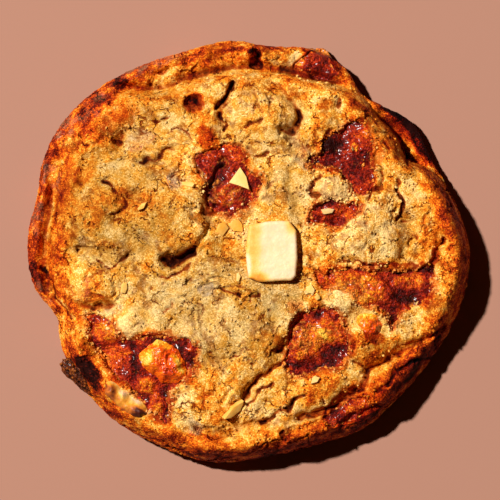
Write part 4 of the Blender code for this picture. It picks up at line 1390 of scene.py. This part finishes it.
# The skin moves along its normal where it lies open, and keeps its pits, cracks and gaps
# between crumbs as a mask for painted shade.
open_air = stored(relief, "open_air")
gap_shade = times(between(crumb, 0.66, 0.82), between(soft_noise(place, 190.0), 0.52, 0.62, 0.0, 0.6))
kept = put(relief, "GeometryNodeStoreNamedAttribute", {
    "Geometry": given["Geometry"], "Name": "hollow_shade",
    "Value": times(larger(larger(pit, crack), gap_shade), open_air),
}, data_type="FLOAT", domain="POINT").outputs[0]
outward = put(relief, "GeometryNodeInputNormal").outputs[0]
moved = put(relief, "GeometryNodeSetPosition", {
    "Geometry": kept, "Offset": scaled(outward, times(height, open_air)),
}).outputs[0]
finish_tree(moved, given["Finish"], result)

# %% Run a tree on a piece and keep the result


def run_tree(piece, tree, **values):
    """Evaluates the tree on the piece with the given inputs and leaves a plain mesh."""
    step = piece.modifiers.new(tree.name, "NODES")
    step.node_group = tree
    for socket in tree.interface.items_tree:
        label = socket.name.lower().replace(" ", "_")
        if socket.in_out == "INPUT" and label in values:
            step[socket.identifier] = values[label]
    graph = bpy.context.evaluated_depsgraph_get()
    made = bpy.data.meshes.new_from_object(piece.evaluated_get(graph), depsgraph=graph)
    piece.modifiers.clear()
    old, piece.data = piece.data, made
    bpy.data.meshes.remove(old)
    made.name = piece.name
    return piece


run_tree(dough, relief, finish=crust)
deep = np.empty(len(dough.data.vertices), np.float32)
dough.data.attributes["hollow_shade"].data.foreach_get("value", deep)
print("points in a pit or crack:", int((deep > 0.5).sum()))
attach(dough, "root")
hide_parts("dough")

# %% [markdown]
# ## Toffee pools
#
# Each pool is a thin lens of set toffee. An even net covers its line and a little more, its roof
# lies at the pool's level with lumps and bubbles, and where it dips under the dough's bank it
# simply vanishes, which gives the ragged shore that melted toffee really has.

# %% Lumps in the toffee, and the pool maker
POOL_SPACING = 0.24
POOL_SKIRT = 0.9           # how far the net reaches past the line
POOL_SKIN = 0.4
BUBBLES = ((3.2, 0.4, 101), (1.5, 0.32, 103), (0.8, 0.16, 105))
# Lumps and patches: x, y, half length, half width, tilt, height, change of amber.
TOFFEE_LUMPS = (
    (-5.6, 12.6, 4.4, 3.6, 10, 0.5, 0.08),
    (22, 20, 8, 8, 0, 0, -0.06),
    (-4, 21.4, 2.4, 2.4, 0, 0.2, 0.10),
    (23.6, -8.8, 9.4, 4.6, -8, 1.1, 0.31),
    (36.4, -7, 4.6, 2.6, -5, 0.9, 0.30),
    (13, -20.6, 6, 5, 30, 1.0, 0.27),
    (18.6, -18.2, 5, 4, -20, 0.8, 0.24),
    (14, -15.4, 5, 1.6, 10, 0.2, 0.18),
    (19, 8, 6, 1.6, 0, 0.3, 0.16),
    (-32, -18.4, 3.6, 3.6, 0, 0.4, 0.30),
    (-30, -24, 4, 3, 30, 0.3, 0.18),
    (-23, -30.6, 2.8, 2.6, 0, 1.0, 0.26),
    (-20.6, -35.6, 2.6, 4, 20, 0.4, 0.24),
    (26.4, 24.6, 2.4, 2.8, 0, 0.4, 0.20),
    (23.4, 23, 1.4, 1.2, 0, 0.5, 0.30),
    (24, -35.6, 4, 1.8, 20, 0.5, 0.22),
    (11.4, 42.6, 2, 1.6, 0, 0.5, 0.30),
)
# Where the toffee is painted darkest, as painted shade under a bank, and dips a little: half width,
# then the line.
TRENCHES = (
    (1.2, ((-5.6, 19.5), (-7.4, 16.6), (-9, 13.8), (-9.8, 10))),
    (0.7, ((0.4, 16.6), (2.8, 15.4))),
    (1.4, ((13, 19.5), (15.4, 20.8), (17, 22.5), (18.4, 24.4), (20, 25.5))),
    (0.8, ((15.5, 10.6), (19, 10.6))),
    (0.7, ((20, -4.5), (41, -4.5))),
    (1.1, ((38.5, -3.4), (41.6, -4.6), (41.8, -8), (40.6, -9.4))),
    (1.3, ((31, -9.4), (35, -10.6), (41, -12.6))),
    (1.0, ((32, -13), (32.4, -17.6))),
    (0.5, ((15, -14.2), (19, -15), (23, -13.8))),
    (0.8, ((12.5, -15.4), (10.4, -18.4), (7.5, -22.8))),
    (1.4, ((16.6, -23.6), (19.4, -22.4), (22.4, -20.6))),
    (0.6, ((8.6, -26), (14, -27.2), (19.6, -25.4))),
    (1.2, ((-25.6, -20.4), (-26.2, -25), (-25.4, -29.6))),
    (1.2, ((-19, -21.2), (-15.6, -22.2), (-12.6, -24.4))),
    (1.0, ((-28, -18.8), (-24, -19.4), (-21, -19.2))),
    (0.8, ((-25.4, -32), (-23.4, -33.4))),
    (0.8, ((-19, -32), (-18, -34.3), (-18.8, -38))),
    (0.9, ((17, -36.8), (20, -34.8), (22, -32.8), (25, -31.6))),
)
# Toffee with a film of browned dough on it: x, y, half length, half width, tilt, how much.
COATED = (
    (-5.4, 12.4, 5.2, 4.4, 10, 0.52),
    (-6.4, 19, 2.6, 2.2, 60, 0.4),
    (22.4, -9.4, 8, 3.4, -8, 0.6),
    (35.6, -7, 3.4, 2, -5, 0.4),
    (13.4, -20, 5.4, 4.2, 30, 0.6),
    (19, -17.6, 3, 2.4, -20, 0.5),
)
TRENCH_SHADE = 0.24
TRENCH_DEPTH = 0.2
TOFFEE_BASE = 0.28         # amber of plain set toffee
MOST_AMBER = 0.95
SHORE_AMBER = 0.14         # how much more amber it is where it thins out at the shore
AMBER_NOISE = ((2.6, 0.10, 113), (1.1, 0.08, 115))


def fine_grid(line, margin, spacing):
    """An even net of triangles that covers the box of a line and a margin round it."""
    low, high = line.min(axis=0) - margin, line.max(axis=0) + margin
    rows = np.arange(low[1], high[1] + spacing, spacing * math.sqrt(0.75))
    cols = np.arange(low[0] - spacing, high[0] + spacing, spacing)
    odd = np.arange(len(rows)) % 2
    x = cols[None, :] + 0.5 * spacing * odd[:, None]
    y = np.repeat(rows[:, None], len(cols), axis=1)
    at = np.arange(x.size).reshape(x.shape)
    a, b, c, d = at[:-1, :-1], at[:-1, 1:], at[1:, :-1], at[1:, 1:]
    even = odd[:-1, None] == 0
    first = np.where(even[..., None], np.stack([a, b, c], -1), np.stack([a, b, d], -1))
    second = np.where(even[..., None], np.stack([b, d, c], -1), np.stack([a, d, c], -1))
    return x.ravel(), y.ravel(), np.concatenate([first.reshape(-1, 3), second.reshape(-1, 3)])


def shell(name, x, y, faces, roof, floor):
    """A closed piece between a floor and a roof over some triangles of a net."""
    used, local = np.unique(faces, return_inverse=True)
    local = local.reshape(-1, 3)
    count = len(used)
    points = np.concatenate([
        np.stack([x[used], y[used], roof[used]], axis=1),
        np.stack([x[used], y[used], floor[used]], axis=1),
    ])
    sides = np.concatenate([local[:, [0, 1]], local[:, [1, 2]], local[:, [2, 0]]])
    ways = set(map(tuple, sides.tolist()))
    rim = np.array([(a, b) for a, b in sorted(ways) if (b, a) not in ways])
    wall = np.concatenate([
        np.stack([rim[:, 0] + count, rim[:, 1] + count, rim[:, 1]], axis=1),
        np.stack([rim[:, 0] + count, rim[:, 1], rim[:, 0]], axis=1),
    ])
    made = to_mesh(name, points, np.concatenate([local, local[:, ::-1] + count, wall]))
    return made, used


def toffee_roof(x, y):
    """Height of the toffee, and how amber it is, darker along the trenches as painted shade."""
    roof = open_ground(x, y) - POOL_LEVEL + roughness(x, y, 0, BUBBLES)
    amber = TOFFEE_BASE + roughness(x, y, 0, AMBER_NOISE)
    ragged = wander(x, y, 111)
    for *oval, height, glow in TOFFEE_LUMPS:
        there = mound(*ragged, *oval, 1.0)
        roof = roof + height * there
        amber = amber + glow * blend_up(there, 0.7)
    for half_width, line in TRENCHES:
        there = np.exp(-((distance_to(*ragged, line) / half_width) ** 2))
        roof = roof - TRENCH_DEPTH * there
        amber = amber - TRENCH_SHADE * there
    return roof, amber


def pour(name, line):
    """The toffee of one pool, over all of the net that lies in its line or close to it."""
    x, y, faces = fine_grid(line, POOL_SKIRT, POOL_SPACING)
    ragged = wander(x, y, POOL_SEED)
    depth = inside_distance(*ragged, line)
    faces = faces[depth[faces].min(axis=1) > -POOL_SKIRT]
    roof, amber = toffee_roof(x, y)
    thin = 1 - blend_up(depth, 1.6)
    amber = amber + SHORE_AMBER * thin * (0.5 + noise(x, y, 0, 3.0, 117))
    shore = np.maximum(1 - blend_up(depth + 0.2, 1.1), spotted(*ragged, COATED))
    ground = open_ground(x, y) - pool_depth(*ragged, line)
    mesh, used = shell(name, x, y, faces, roof, np.minimum(ground, roof - POOL_SKIN))
    amber = np.minimum(amber, MOST_AMBER)
    keep_values(mesh, amber=np.tile(amber[used], 2), shore=np.tile(shore[used], 2))
    return add_piece(mesh, toffee)


toffee_faces = 0
for name, line in LINES.items():
    pool = pour(name + "_set", line)
    toffee_faces += len(pool.data.polygons)
    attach(pool, "root")
    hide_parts(name)
print("toffee pools:", len(LINES), "with", toffee_faces, "triangles")

# %% [markdown]
# ## Loose crumbs
#
# Dough breaks into crumbs where it meets the toffee, and a few lie everywhere or in small pale
# heaps. They follow a rule, so a node tree strews them: more where the ground is marked as
# crumbly, each one a small lump of its own size and turn, half sunk. They keep the browning of
# the ground they lie on.

# %% Tree that strews crumbs
FULL_TURN = 6.28
CRUMB_THINNEST = (0.7, 0.7, 0.5)
CRUMB_THICKEST = (1.3, 1.3, 0.9)

strew, given, result = new_group(
    "GeometryNodeTree", "crumb_strewing",
    {
        "Geometry": ("Geometry", None), "Crumbs per square metre": ("Float", 1.2e6),
        "Smallest": ("Float", 0.00016), "Largest": ("Float", 0.0005),
        "Seed": ("Int", 5), "Finish": ("Material", None),
    },
    {"Geometry": "Geometry"},
)


def random_vector(low, high, seed):
    inputs = {0: low, 1: high, "Seed": seed}
    return put(strew, "FunctionNodeRandomValue", inputs, data_type="FLOAT_VECTOR").outputs[0]


points = put(strew, "GeometryNodeDistributePointsOnFaces", {
    "Mesh": given["Geometry"], "Seed": given["Seed"],
    "Density": times(stored(strew, "crumbly"), given["Crumbs per square metre"]),
}).outputs["Points"]
draw = put(strew, "FunctionNodeRandomValue", {
    2: 0.0, 3: 1.0, "Seed": given["Seed"],
}, data_type="FLOAT").outputs[1]
rarely_large = calc("POWER", draw, 2.5)
size = plus(given["Smallest"], times(rarely_large, minus(given["Largest"], given["Smallest"])))
strewn = put(strew, "GeometryNodeInstanceOnPoints", {
    "Points": points,
    "Instance": put(strew, "GeometryNodeMeshIcoSphere", {"Radius": 1.0, "Subdivisions": 1}).outputs[0],
    "Rotation": random_vector((0, 0, 0), (FULL_TURN,) * 3, 12),
    "Scale": scaled(random_vector(CRUMB_THINNEST, CRUMB_THICKEST, 11), size),
}).outputs[0]
finish_tree(strewn, given["Finish"], result)

# %% The ground that the crumbs lie on
CRUMBS_EVERYWHERE = 0.16
CRUMBS_AT_SHORE = 1.0
CRUMBS_IN_HEAP = 3.0
SHORE_REACH = 1.2          # how far from the toffee its shore still crumbles
HEADROOM = 0.6             # what a crumb needs below the top of the solids
# Small heaps of pale crumbs, also on the toffee: x, y, half length, half width.
CRUMB_HEAPS = (
    (23.4, 22.8, 1.0, 0.6), (26.0, 19.6, 0.6, 0.5), (28, 22, 0.5, 0.5), (-1.4, 10.2, 0.5, 0.4),
    (-3.2, 8.4, 0.7, 0.4), (-4.4, 22.4, 0.5, 0.6), (25.6, -34.6, 1.0, 0.5), (37.6, -12.0, 1.0, 0.7),
    (-22.6, -25, 0.5, 0.4), (13.6, -9.8, 1.8, 1.4), (14.8, -29.0, 1.6, 0.8), (-3.0, -37.2, 2.2, 1.2),
    (-13.2, 16.2, 1.0, 0.8), (-2.8, 3.4, 2.0, 0.8), (-31.8, -17.6, 0.8, 0.6),
)

ragged = wander(net_x, net_y, POOL_SEED)
_, r, outline, _ = rim_at(net_x, net_y)
to_pool = np.max([inside_distance(*ragged, line) for line in LINES.values()], axis=0)
ground_z = np.where(to_pool > 0, toffee_roof(net_x, net_y)[0], top_z)
crumbly = CRUMBS_EVERYWHERE + CRUMBS_AT_SHORE * np.exp(-((to_pool + 0.2) ** 2))
crumbly = crumbly * blend_up(to_pool + SHORE_REACH, 0.1)
crumbly = crumbly + CRUMBS_EVERYWHERE * (to_pool < -SHORE_REACH)
clear = blend_up(outline - r - 3, 2) * (inside_distance(net_x, net_y, SLAB_BORDER) < 0.2)
below_top = ground_z < cad_box[1][2] / MM - HEADROOM
crumbly = crumbly * clear * (to_pool < 0.8) * (cuts < 0.6) * below_top
heap = np.max([mound(net_x, net_y, *spot, 0) for spot in CRUMB_HEAPS], axis=0)
ground = to_mesh("loose_crumbs", np.stack([net_x, net_y, ground_z], axis=1), net_faces)
keep_values(
    ground, crumbly=np.maximum(crumbly, CRUMBS_IN_HEAP * heap),
    browning=baked[:len(net_x)] - 0.06 - 0.3 * heap,
    dull=np.clip(spotted(net_x, net_y, DULL_SPOTS), 0, 1),
    stain=0.5 * stain(net_x, net_y) * (1 - heap),
)
crumbs = run_tree(add_piece(ground), strew, finish=crust)
print("crumbs:", len(crumbs.data.polygons) // 20, "with", len(crumbs.data.polygons), "triangles")
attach(crumbs, "root")
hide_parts("dough")

# %% [markdown]
# ## Solid pieces in the toffee
#
# The slab of chocolate, the unmelted nugget and the chocolate in the rim are lumps with a clear
# outline. A round net is stretched from the middle of each to its line, so the rim of the net
# is the rim of the piece, and a few rings more go down its side.

# %% Chocolate material
CHOCOLATE_COLOURS = (
    (0.00, (0.82, 0.60, 0.36)),
    (0.30, (0.83, 0.50, 0.125)),
    (0.55, (0.80, 0.34, 0.030)),
    (0.78, (0.50, 0.12, 0.015)),
    (1.00, (0.07, 0.010, 0.004)),
)
chocolate, tree, shader = new_material("white_chocolate")
speckle = add_speckle(tree, 1500, 0.1, 0.03)
toast = attribute(tree, "toast")
unevenness = plus(times(toast, 0.7), 0.16)
toasted = plus(toast, swing(soft_noise(object_place(tree), 520.0, 3.0), unevenness))
fill(shader, {
    "Base Color": tint(1.0, ramp(toasted, CHOCOLATE_COLOURS), speckle["Tone"]),
    "Normal": bump(speckle["Height"], 0.5, 0.00015),
    "Roughness": 0.5, "Specular IOR Level": 0.3,
    "Subsurface Weight": 0.15, "Subsurface Radius": (1.0, 0.6, 0.3), "Subsurface Scale": 0.001,
})

# %% Lumps stretched over a round net
LUMP_RINGS = 44
FOOT_RINGS = 10


def soften(line, spacing=0.15, passes=6, ragged=0.0, seed=0):
    """The line with many even points, its corners worn round, and ragged if asked."""
    p = np.array(line, float)
    closed = np.concatenate([p, p[:1]])
    along = np.concatenate([[0], np.cumsum(np.hypot(*np.diff(closed, axis=0).T))])
    at = np.arange(0, along[-1], spacing)
    dense = np.stack([np.interp(at, along, closed[:, k]) for k in (0, 1)], axis=1)
    for _ in range(passes):
        dense = (np.roll(dense, 1, 0) + 2 * dense + np.roll(dense, -1, 0)) / 4
    out = dense - dense.mean(axis=0)
    push = noise(*dense.T, 0, 2.2, seed) + 0.6 * noise(*dense.T, 0, 0.9, seed + 1)
    return dense + ragged * push[:, None] * out / np.hypot(*out.T)[:, None]


def lump(name, line, roof, floor):
    """A closed lump over a line: roof and floor give heights from x, y and the depth inside."""
    middle = line.mean(axis=0)
    unit_x, unit_y, faces, rim = round_net(LUMP_RINGS, 0.3, 0.2)
    reach = reach_of(line - middle, np.arctan2(unit_y, unit_x))
    x, y = middle[0] + unit_x * reach, middle[1] + unit_y * reach
    depth = np.maximum(inside_distance(x, y, line), 0)
    depth[rim:] = 0
    top = np.stack([x, y, roof(x, y, depth)], axis=1)
    edge = top[rim:]
    foot = floor(edge[:, 0], edge[:, 1])
    points, skin = [top], [faces]
    count, upper, total = 6 * LUMP_RINGS, rim, len(top)
    for k in range(1, FOOT_RINGS + 1):
        ring = edge.copy()
        ring[:, 2] += (foot - edge[:, 2]) * k / FOOT_RINGS
        points.append(ring)
        skin.append(band(upper, total, count))
        upper, total = total, total + count
    here = upper + np.arange(count)
    points.append(np.array([[*middle, foot.mean()]]))
    skin.append(np.stack([np.roll(here, -1), here, np.full(count, total)], axis=1))
    points = np.concatenate(points)
    return to_mesh(name, points, np.concatenate(skin)), points


def round_over(depth, edge):
    """How far a rounded edge has dropped at a depth inside the line."""
    return edge * (1 - np.sqrt(np.clip(1 - (1 - np.clip(depth / edge, 0, 1)) ** 2, 0, 1)))


# %% The slab
SLAB_TOP = slab_high[2] / MM
SLAB_BASE = slab_low[2] / MM
SLAB_ROUND = 0.75          # radius of its worn upper edge
SLAB_WAVES = ((4.0, 0.16, 121), (1.3, 0.05, 123))


def slab_roof(x, y, depth):
    waves = np.minimum(roughness(x, y, 0, SLAB_WAVES), 0.14)
    return SLAB_TOP - 0.15 + waves - round_over(depth, SLAB_ROUND)


def slab_floor(x, y):
    return np.full(np.shape(x), SLAB_BASE)


slab_line = soften(SLAB_LINE, passes=2, ragged=0.08, seed=127)
mesh, points = lump("white_chocolate_slab_cut", slab_line, slab_roof, slab_floor)
x, y, z = points.T
left = blend_up(3.4 - x + 1.4 * noise(x, y, 0, 2.4, 125), 3.2)
sides = blend_up(SLAB_TOP - 0.5 - z, 1.6)
far_corner = mound(x, y, 10.4, 5.6, 3.0, 3.0, 0)
scorched = mound(x, y, 2.4, -6.3, 2.8, 1.7, 10)
pale = mound(x, y, -0.6, -3.4, 1.6, 3.6, 0)
near_edge = blend_up(-6.0 - y, 1.0)
toast = 0.03 + 0.36 * left + 0.5 * (far_corner + sides + scorched) - 0.6 * pale + 0.2 * near_edge
keep_values(mesh, toast=np.clip(toast, 0, 1))
slab = add_piece(mesh, chocolate)
print("slab:", len(mesh.polygons), "faces, top at", round(points[:, 2].max(), 2), "mm")
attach(slab, "root")
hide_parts("white_chocolate_slab")

# %% The nugget and the nub of amber toffee
AMBER_COLOURS = (
    (0.22, (0.40, 0.016, 0.002)),
    (0.42, (0.86, 0.075, 0.003)),
    (0.60, (1.00, 0.18, 0.004)),
    (0.78, (1.00, 0.36, 0.008)),
    (0.95, (1.00, 0.66, 0.10)),
)
RED_SPOT = (-18.6, -26.4, 5.6, 2.0, 60)
YELLOW_SPOTS = (
    (-22.8, -24.2, 2.6, 2.0, 40), (-19.5, -21.7, 2.4, 1.2, -20), (-16.1, -25.5, 2.6, 1.2, -45),
)
NUB_SHADE = (28.6, -17.2, 2.6, 2.4, 0)
CHUNK_NOISE = ((3.0, 0.9), (1.5, 0.6), (0.7, 0.26))     # cell and height of a broken face

amber_toffee, shader, _, speckle, amber = melted(
    "amber_toffee", 0.0022, 0.3, (1900, 0.8, 0.15), 0.12, (0.8, 0.0005),
)
fill(shader, {
    "Base Color": tint(0.8, ramp(amber, AMBER_COLOURS), speckle["Tone"]),
    "Roughness": 0.3, "Coat Weight": 0.5, "Coat Roughness": 0.15,
})


def bedded(rise, bank, seed, broken=1.0):
    """A broken roof that swells over the toffee or dough below, and a floor sunk in it."""
    def roof(x, y, depth):
        facets = 0
        for step, (cell, height) in enumerate(CHUNK_NOISE):
            facets = facets + height * (0.2 - np.abs(noise(x, y, 0, cell, seed + step)))
        swell = (rise + broken * facets) * blend_up(depth, bank) ** 0.6
        return open_ground(x, y) - POOL_LEVEL + 0.4 + swell

    def floor(x, y):
        return body_height(x, y) - POOL_LEVEL - 1.4
    return roof, floor


nugget_line = soften(smooth_line(NUGGET_LINE), ragged=0.5, seed=151)
mesh, points = lump("toffee_nugget_set", nugget_line, *bedded(NUGGET_RISE, 2.2, 131))
x, y, z = points.T
ragged = wander(x, y, 153)
red = mound(*ragged, *RED_SPOT, 1.0)
yellow = np.max([mound(*ragged, *spot, 1.0) for spot in YELLOW_SPOTS], axis=0)
amber = 0.50 - 0.16 * red + 0.42 * yellow - 0.06 * blend_up(-27.6 - y, 2.6)
keep_values(mesh, amber=amber + 0.10 * noise(x, y, 0, 1.4, 159))
nugget = add_piece(mesh, amber_toffee)
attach(nugget, "root")
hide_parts("toffee_nugget")

nub_line = soften(smooth_line(NUB_LINE), ragged=0.4, seed=155)
mesh, points = lump("toffee_nub_set", nub_line, *bedded(NUB_RISE, 2.0, 135))
x, y, z = points.T
amber = 0.58 + 0.2 * (blend_up(y + 16.4, 2) - blend_up(-17.4 - y, 1.5))
keep_values(mesh, amber=amber - 0.2 * mound(x, y, *NUB_SHADE))
nub = add_piece(mesh, amber_toffee)
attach(nub, "root")
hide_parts("toffee_nub")

# %% The chocolate baked into the rim
CREAM_MIDDLE = (-27.8, -33.2)
CREAM_TURN = math.radians(38)

cream_line = soften(smooth_line(CREAM_LINE), ragged=0.45, seed=157)
mesh, points = lump("white_chocolate_rim_baked", cream_line, *bedded(CREAM_RISE, 1.8, 141, 0.4))
x, y, z = points.T
c, s = math.cos(CREAM_TURN), math.sin(CREAM_TURN)
off_x, off_y = x - CREAM_MIDDLE[0], y - CREAM_MIDDLE[1]
along = off_x * c - off_y * s
across = off_x * s + off_y * c + 0.6 * noise(x, y, 0, 1.6, 145)
toast = 0.68 - 0.58 * blend_up(across + 0.6, 1.3) + 0.4 * blend_up(along - 2.4, 2.0)
toast = toast + 0.26 * blend_up(-along - 1.6, 1.4) + 0.14 * noise(x, y, 0, 0.9, 147)
keep_values(mesh, toast=np.clip(toast, 0, 1))
cream = add_piece(mesh, chocolate)
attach(cream, "root")
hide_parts("white_chocolate_rim")

# %% The burnt drop on the rim
BLOB_ROUGH = ((0.7, 0.24, 23), (0.32, 0.20, 25), (0.15, 0.11, 27))
BURNT_COLOURS = (
    (0.1, (0.03, 0.006, 0.002)),
    (0.4, (0.16, 0.028, 0.005)),
    (0.8, (0.50, 0.16, 0.02)),
)

burnt, shader, _, _, amber = melted(
    "burnt_toffee", 0.0016, 0.45, (1500, 1.2, 0.3), 0.3, (1.0, 0.0007),
)
fill(shader, {
    "Base Color": ramp(amber, BURNT_COLOURS),
    "Roughness": 0.5, "Specular IOR Level": 0.12,
    "Coat Weight": 0.06, "Coat Roughness": 0.15,
})

shape = bmesh.new()
bmesh.ops.create_icosphere(shape, subdivisions=6, radius=1)
ball = np.array([vert.co for vert in shape.verts])
ball_faces = np.array([[vert.index for vert in face.verts] for face in shape.faces])
shape.free()
rough = 1 + roughness(*ball.T, BLOB_ROUGH)
turn = math.radians(BLOB_TURN)
c, s = math.cos(turn), math.sin(turn)
spin = np.array([[c, -s, 0], [s, c, 0], [0, 0, 1]])
drop = (ball * rough[:, None] * BLOB_SIZE) @ spin.T + BLOB_PLACE
mesh = to_mesh("burnt_toffee_drop", drop, ball_faces)
keep_values(mesh, amber=0.16 + 0.22 * blend_up(rough - 1.0, 0.4))
blob = add_piece(mesh, burnt)
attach(blob, "root")
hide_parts("burnt_toffee_rim")

# %% [markdown]
# ## Flakes
#
# Shavings of chocolate and nut fell on the crown before it set. In the solids they are fused
# to the dough or the toffee. Here they are a piece of their own, in the same places, so that
# they can be pale.

# %% Chips on the crown
# Flakes on the dough: x, y, length, width, tilt.
FLAKES = (
    (-6.0, 5.0, 3.2, 2.2, 70),
    (-2.6, 5.4, 3.6, 2.8, 20),
    (-13.5, 14.6, 2.7, 1.5, -5),
    (-24.0, 9.8, 3.2, 1.1, 35),
    (-28.0, -8.3, 3.0, 1.7, 65),
    (-3.5, -36.0, 5.0, 2.6, 50),
    (13.8, -8.9, 2.3, 2.0, 0),
    (15.4, -10.6, 1.6, 1.4, 40),
    (14.8, -29.3, 2.4, 1.7, 30),
    (-2.4, -6.2, 2.6, 0.9, 80),
)
# Flakes on the toffee, under the name of their pool. The larger one is pointed.
POOL_FLAKES = {
    "toffee_northwest": (-1.9, 15.6, 4.6, 3.7, 75),
    "toffee_middle": (17.6, 8.9, 3.0, 1.2, 12),
}
POINTED_FLAKE = ((-4.4, 15.0), (-2.1, 14.3), (0.2, 13.4), (-0.5, 16.3), (-1.9, 18.5))
# How toasted each flake is, in the order of both lists.
FLAKE_TOAST = (0.46, 0.50, 0.34, 0.38, 0.36, 0.44, 0.28, 0.28, 0.26, 0.26, 0.30, 0.2)
FLAKE_PROUD = 0.6
POOL_FLAKE_PROUD = 1.0
FLAKE_SUNK = 0.9
FLAKE_CORNERS = 5
FLAKE_CHAMFER = 0.1


def pool_level(x, y):
    return body_height(x, y) - POOL_LEVEL


def chip(shape, flake, ground, proud, corner_points=None):
    """Adds one five-cornered flake that leans with the surface under it."""
    x, y, length, width, tilt = flake
    rng = np.random.default_rng(int(1000 + 10 * x + y))
    corners = np.arange(FLAKE_CORNERS) * 360 / FLAKE_CORNERS
    corners = np.radians(corners + rng.uniform(-16, 16, FLAKE_CORNERS))
    reach = 0.95 + 2.2 * (rng.uniform(0.82, 1.12, FLAKE_CORNERS) - 0.95)
    line = np.stack([np.cos(corners) * length, np.sin(corners) * width], axis=1)
    line = line * reach[:, None] / 2
    if corner_points:
        c, s = math.cos(math.radians(tilt)), math.sin(math.radians(tilt))
        line = (np.array(corner_points) - (x, y)) @ np.array([[c, -s], [s, c]])
    heights = ground(x + np.array([0, 1, -1, 0, 0]), y + np.array([0, 0, 0, 1, -1]))
    here, right, left, far, near = heights.tolist()
    up = Vector(((left - right) / 2, (near - far) / 2, 1)).normalized()
    lean = Vector((0, 0, 1)).rotation_difference(up).to_matrix().to_4x4()
    turn = Matrix.Rotation(math.radians(tilt), 4, "Z")
    spot = Vector((x + SHIFT[0], y + SHIFT[1], here))
    frame_of_chip = Matrix.Scale(MM, 4) @ Matrix.Translation(spot) @ lean @ turn
    lower = [shape.verts.new(frame_of_chip @ Vector((a, b, -FLAKE_SUNK))) for a, b in line]
    grown = bmesh.ops.extrude_face_region(shape, geom=[shape.faces.new(lower)])
    upper = [item for item in grown["geom"] if isinstance(item, bmesh.types.BMVert)]
    for vert, more in zip(upper, rng.uniform(-0.15, 0.1, len(upper))):
        vert.co += (lean @ Vector((0, 0, FLAKE_SUNK + proud + more))) * MM


shape = bmesh.new()
for flake in FLAKES:
    chip(shape, flake, open_ground, FLAKE_PROUD)
for name, flake in POOL_FLAKES.items():
    pointed = POINTED_FLAKE if name == "toffee_northwest" else None
    chip(shape, flake, pool_level, POOL_FLAKE_PROUD, pointed)
chamfer = {"offset": FLAKE_CHAMFER * MM, "segments": 2, "profile": 0.6, "affect": "EDGES"}
bmesh.ops.bevel(shape, geom=shape.edges[:], **chamfer)
bmesh.ops.recalc_face_normals(shape, faces=shape.faces)
mesh = bpy.data.meshes.new("chocolate_chips")
shape.to_mesh(mesh)
shape.free()
chips = add_piece(mesh, chocolate)
mesh.set_sharp_from_angle(angle=math.radians(40))
middles = np.array([flake[:2] for flake in (*FLAKES, *POOL_FLAKES.values())]) + SHIFT
corners = np.array([vert.co[:2] for vert in mesh.vertices]) / MM
nearest = np.hypot(*(corners[:, None] - middles[None]).T).argmin(axis=0)
keep_values(mesh, toast=np.array(FLAKE_TOAST)[nearest])
print("chips:", len(FLAKES) + len(POOL_FLAKES))
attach(chips, "root")
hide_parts("dough")
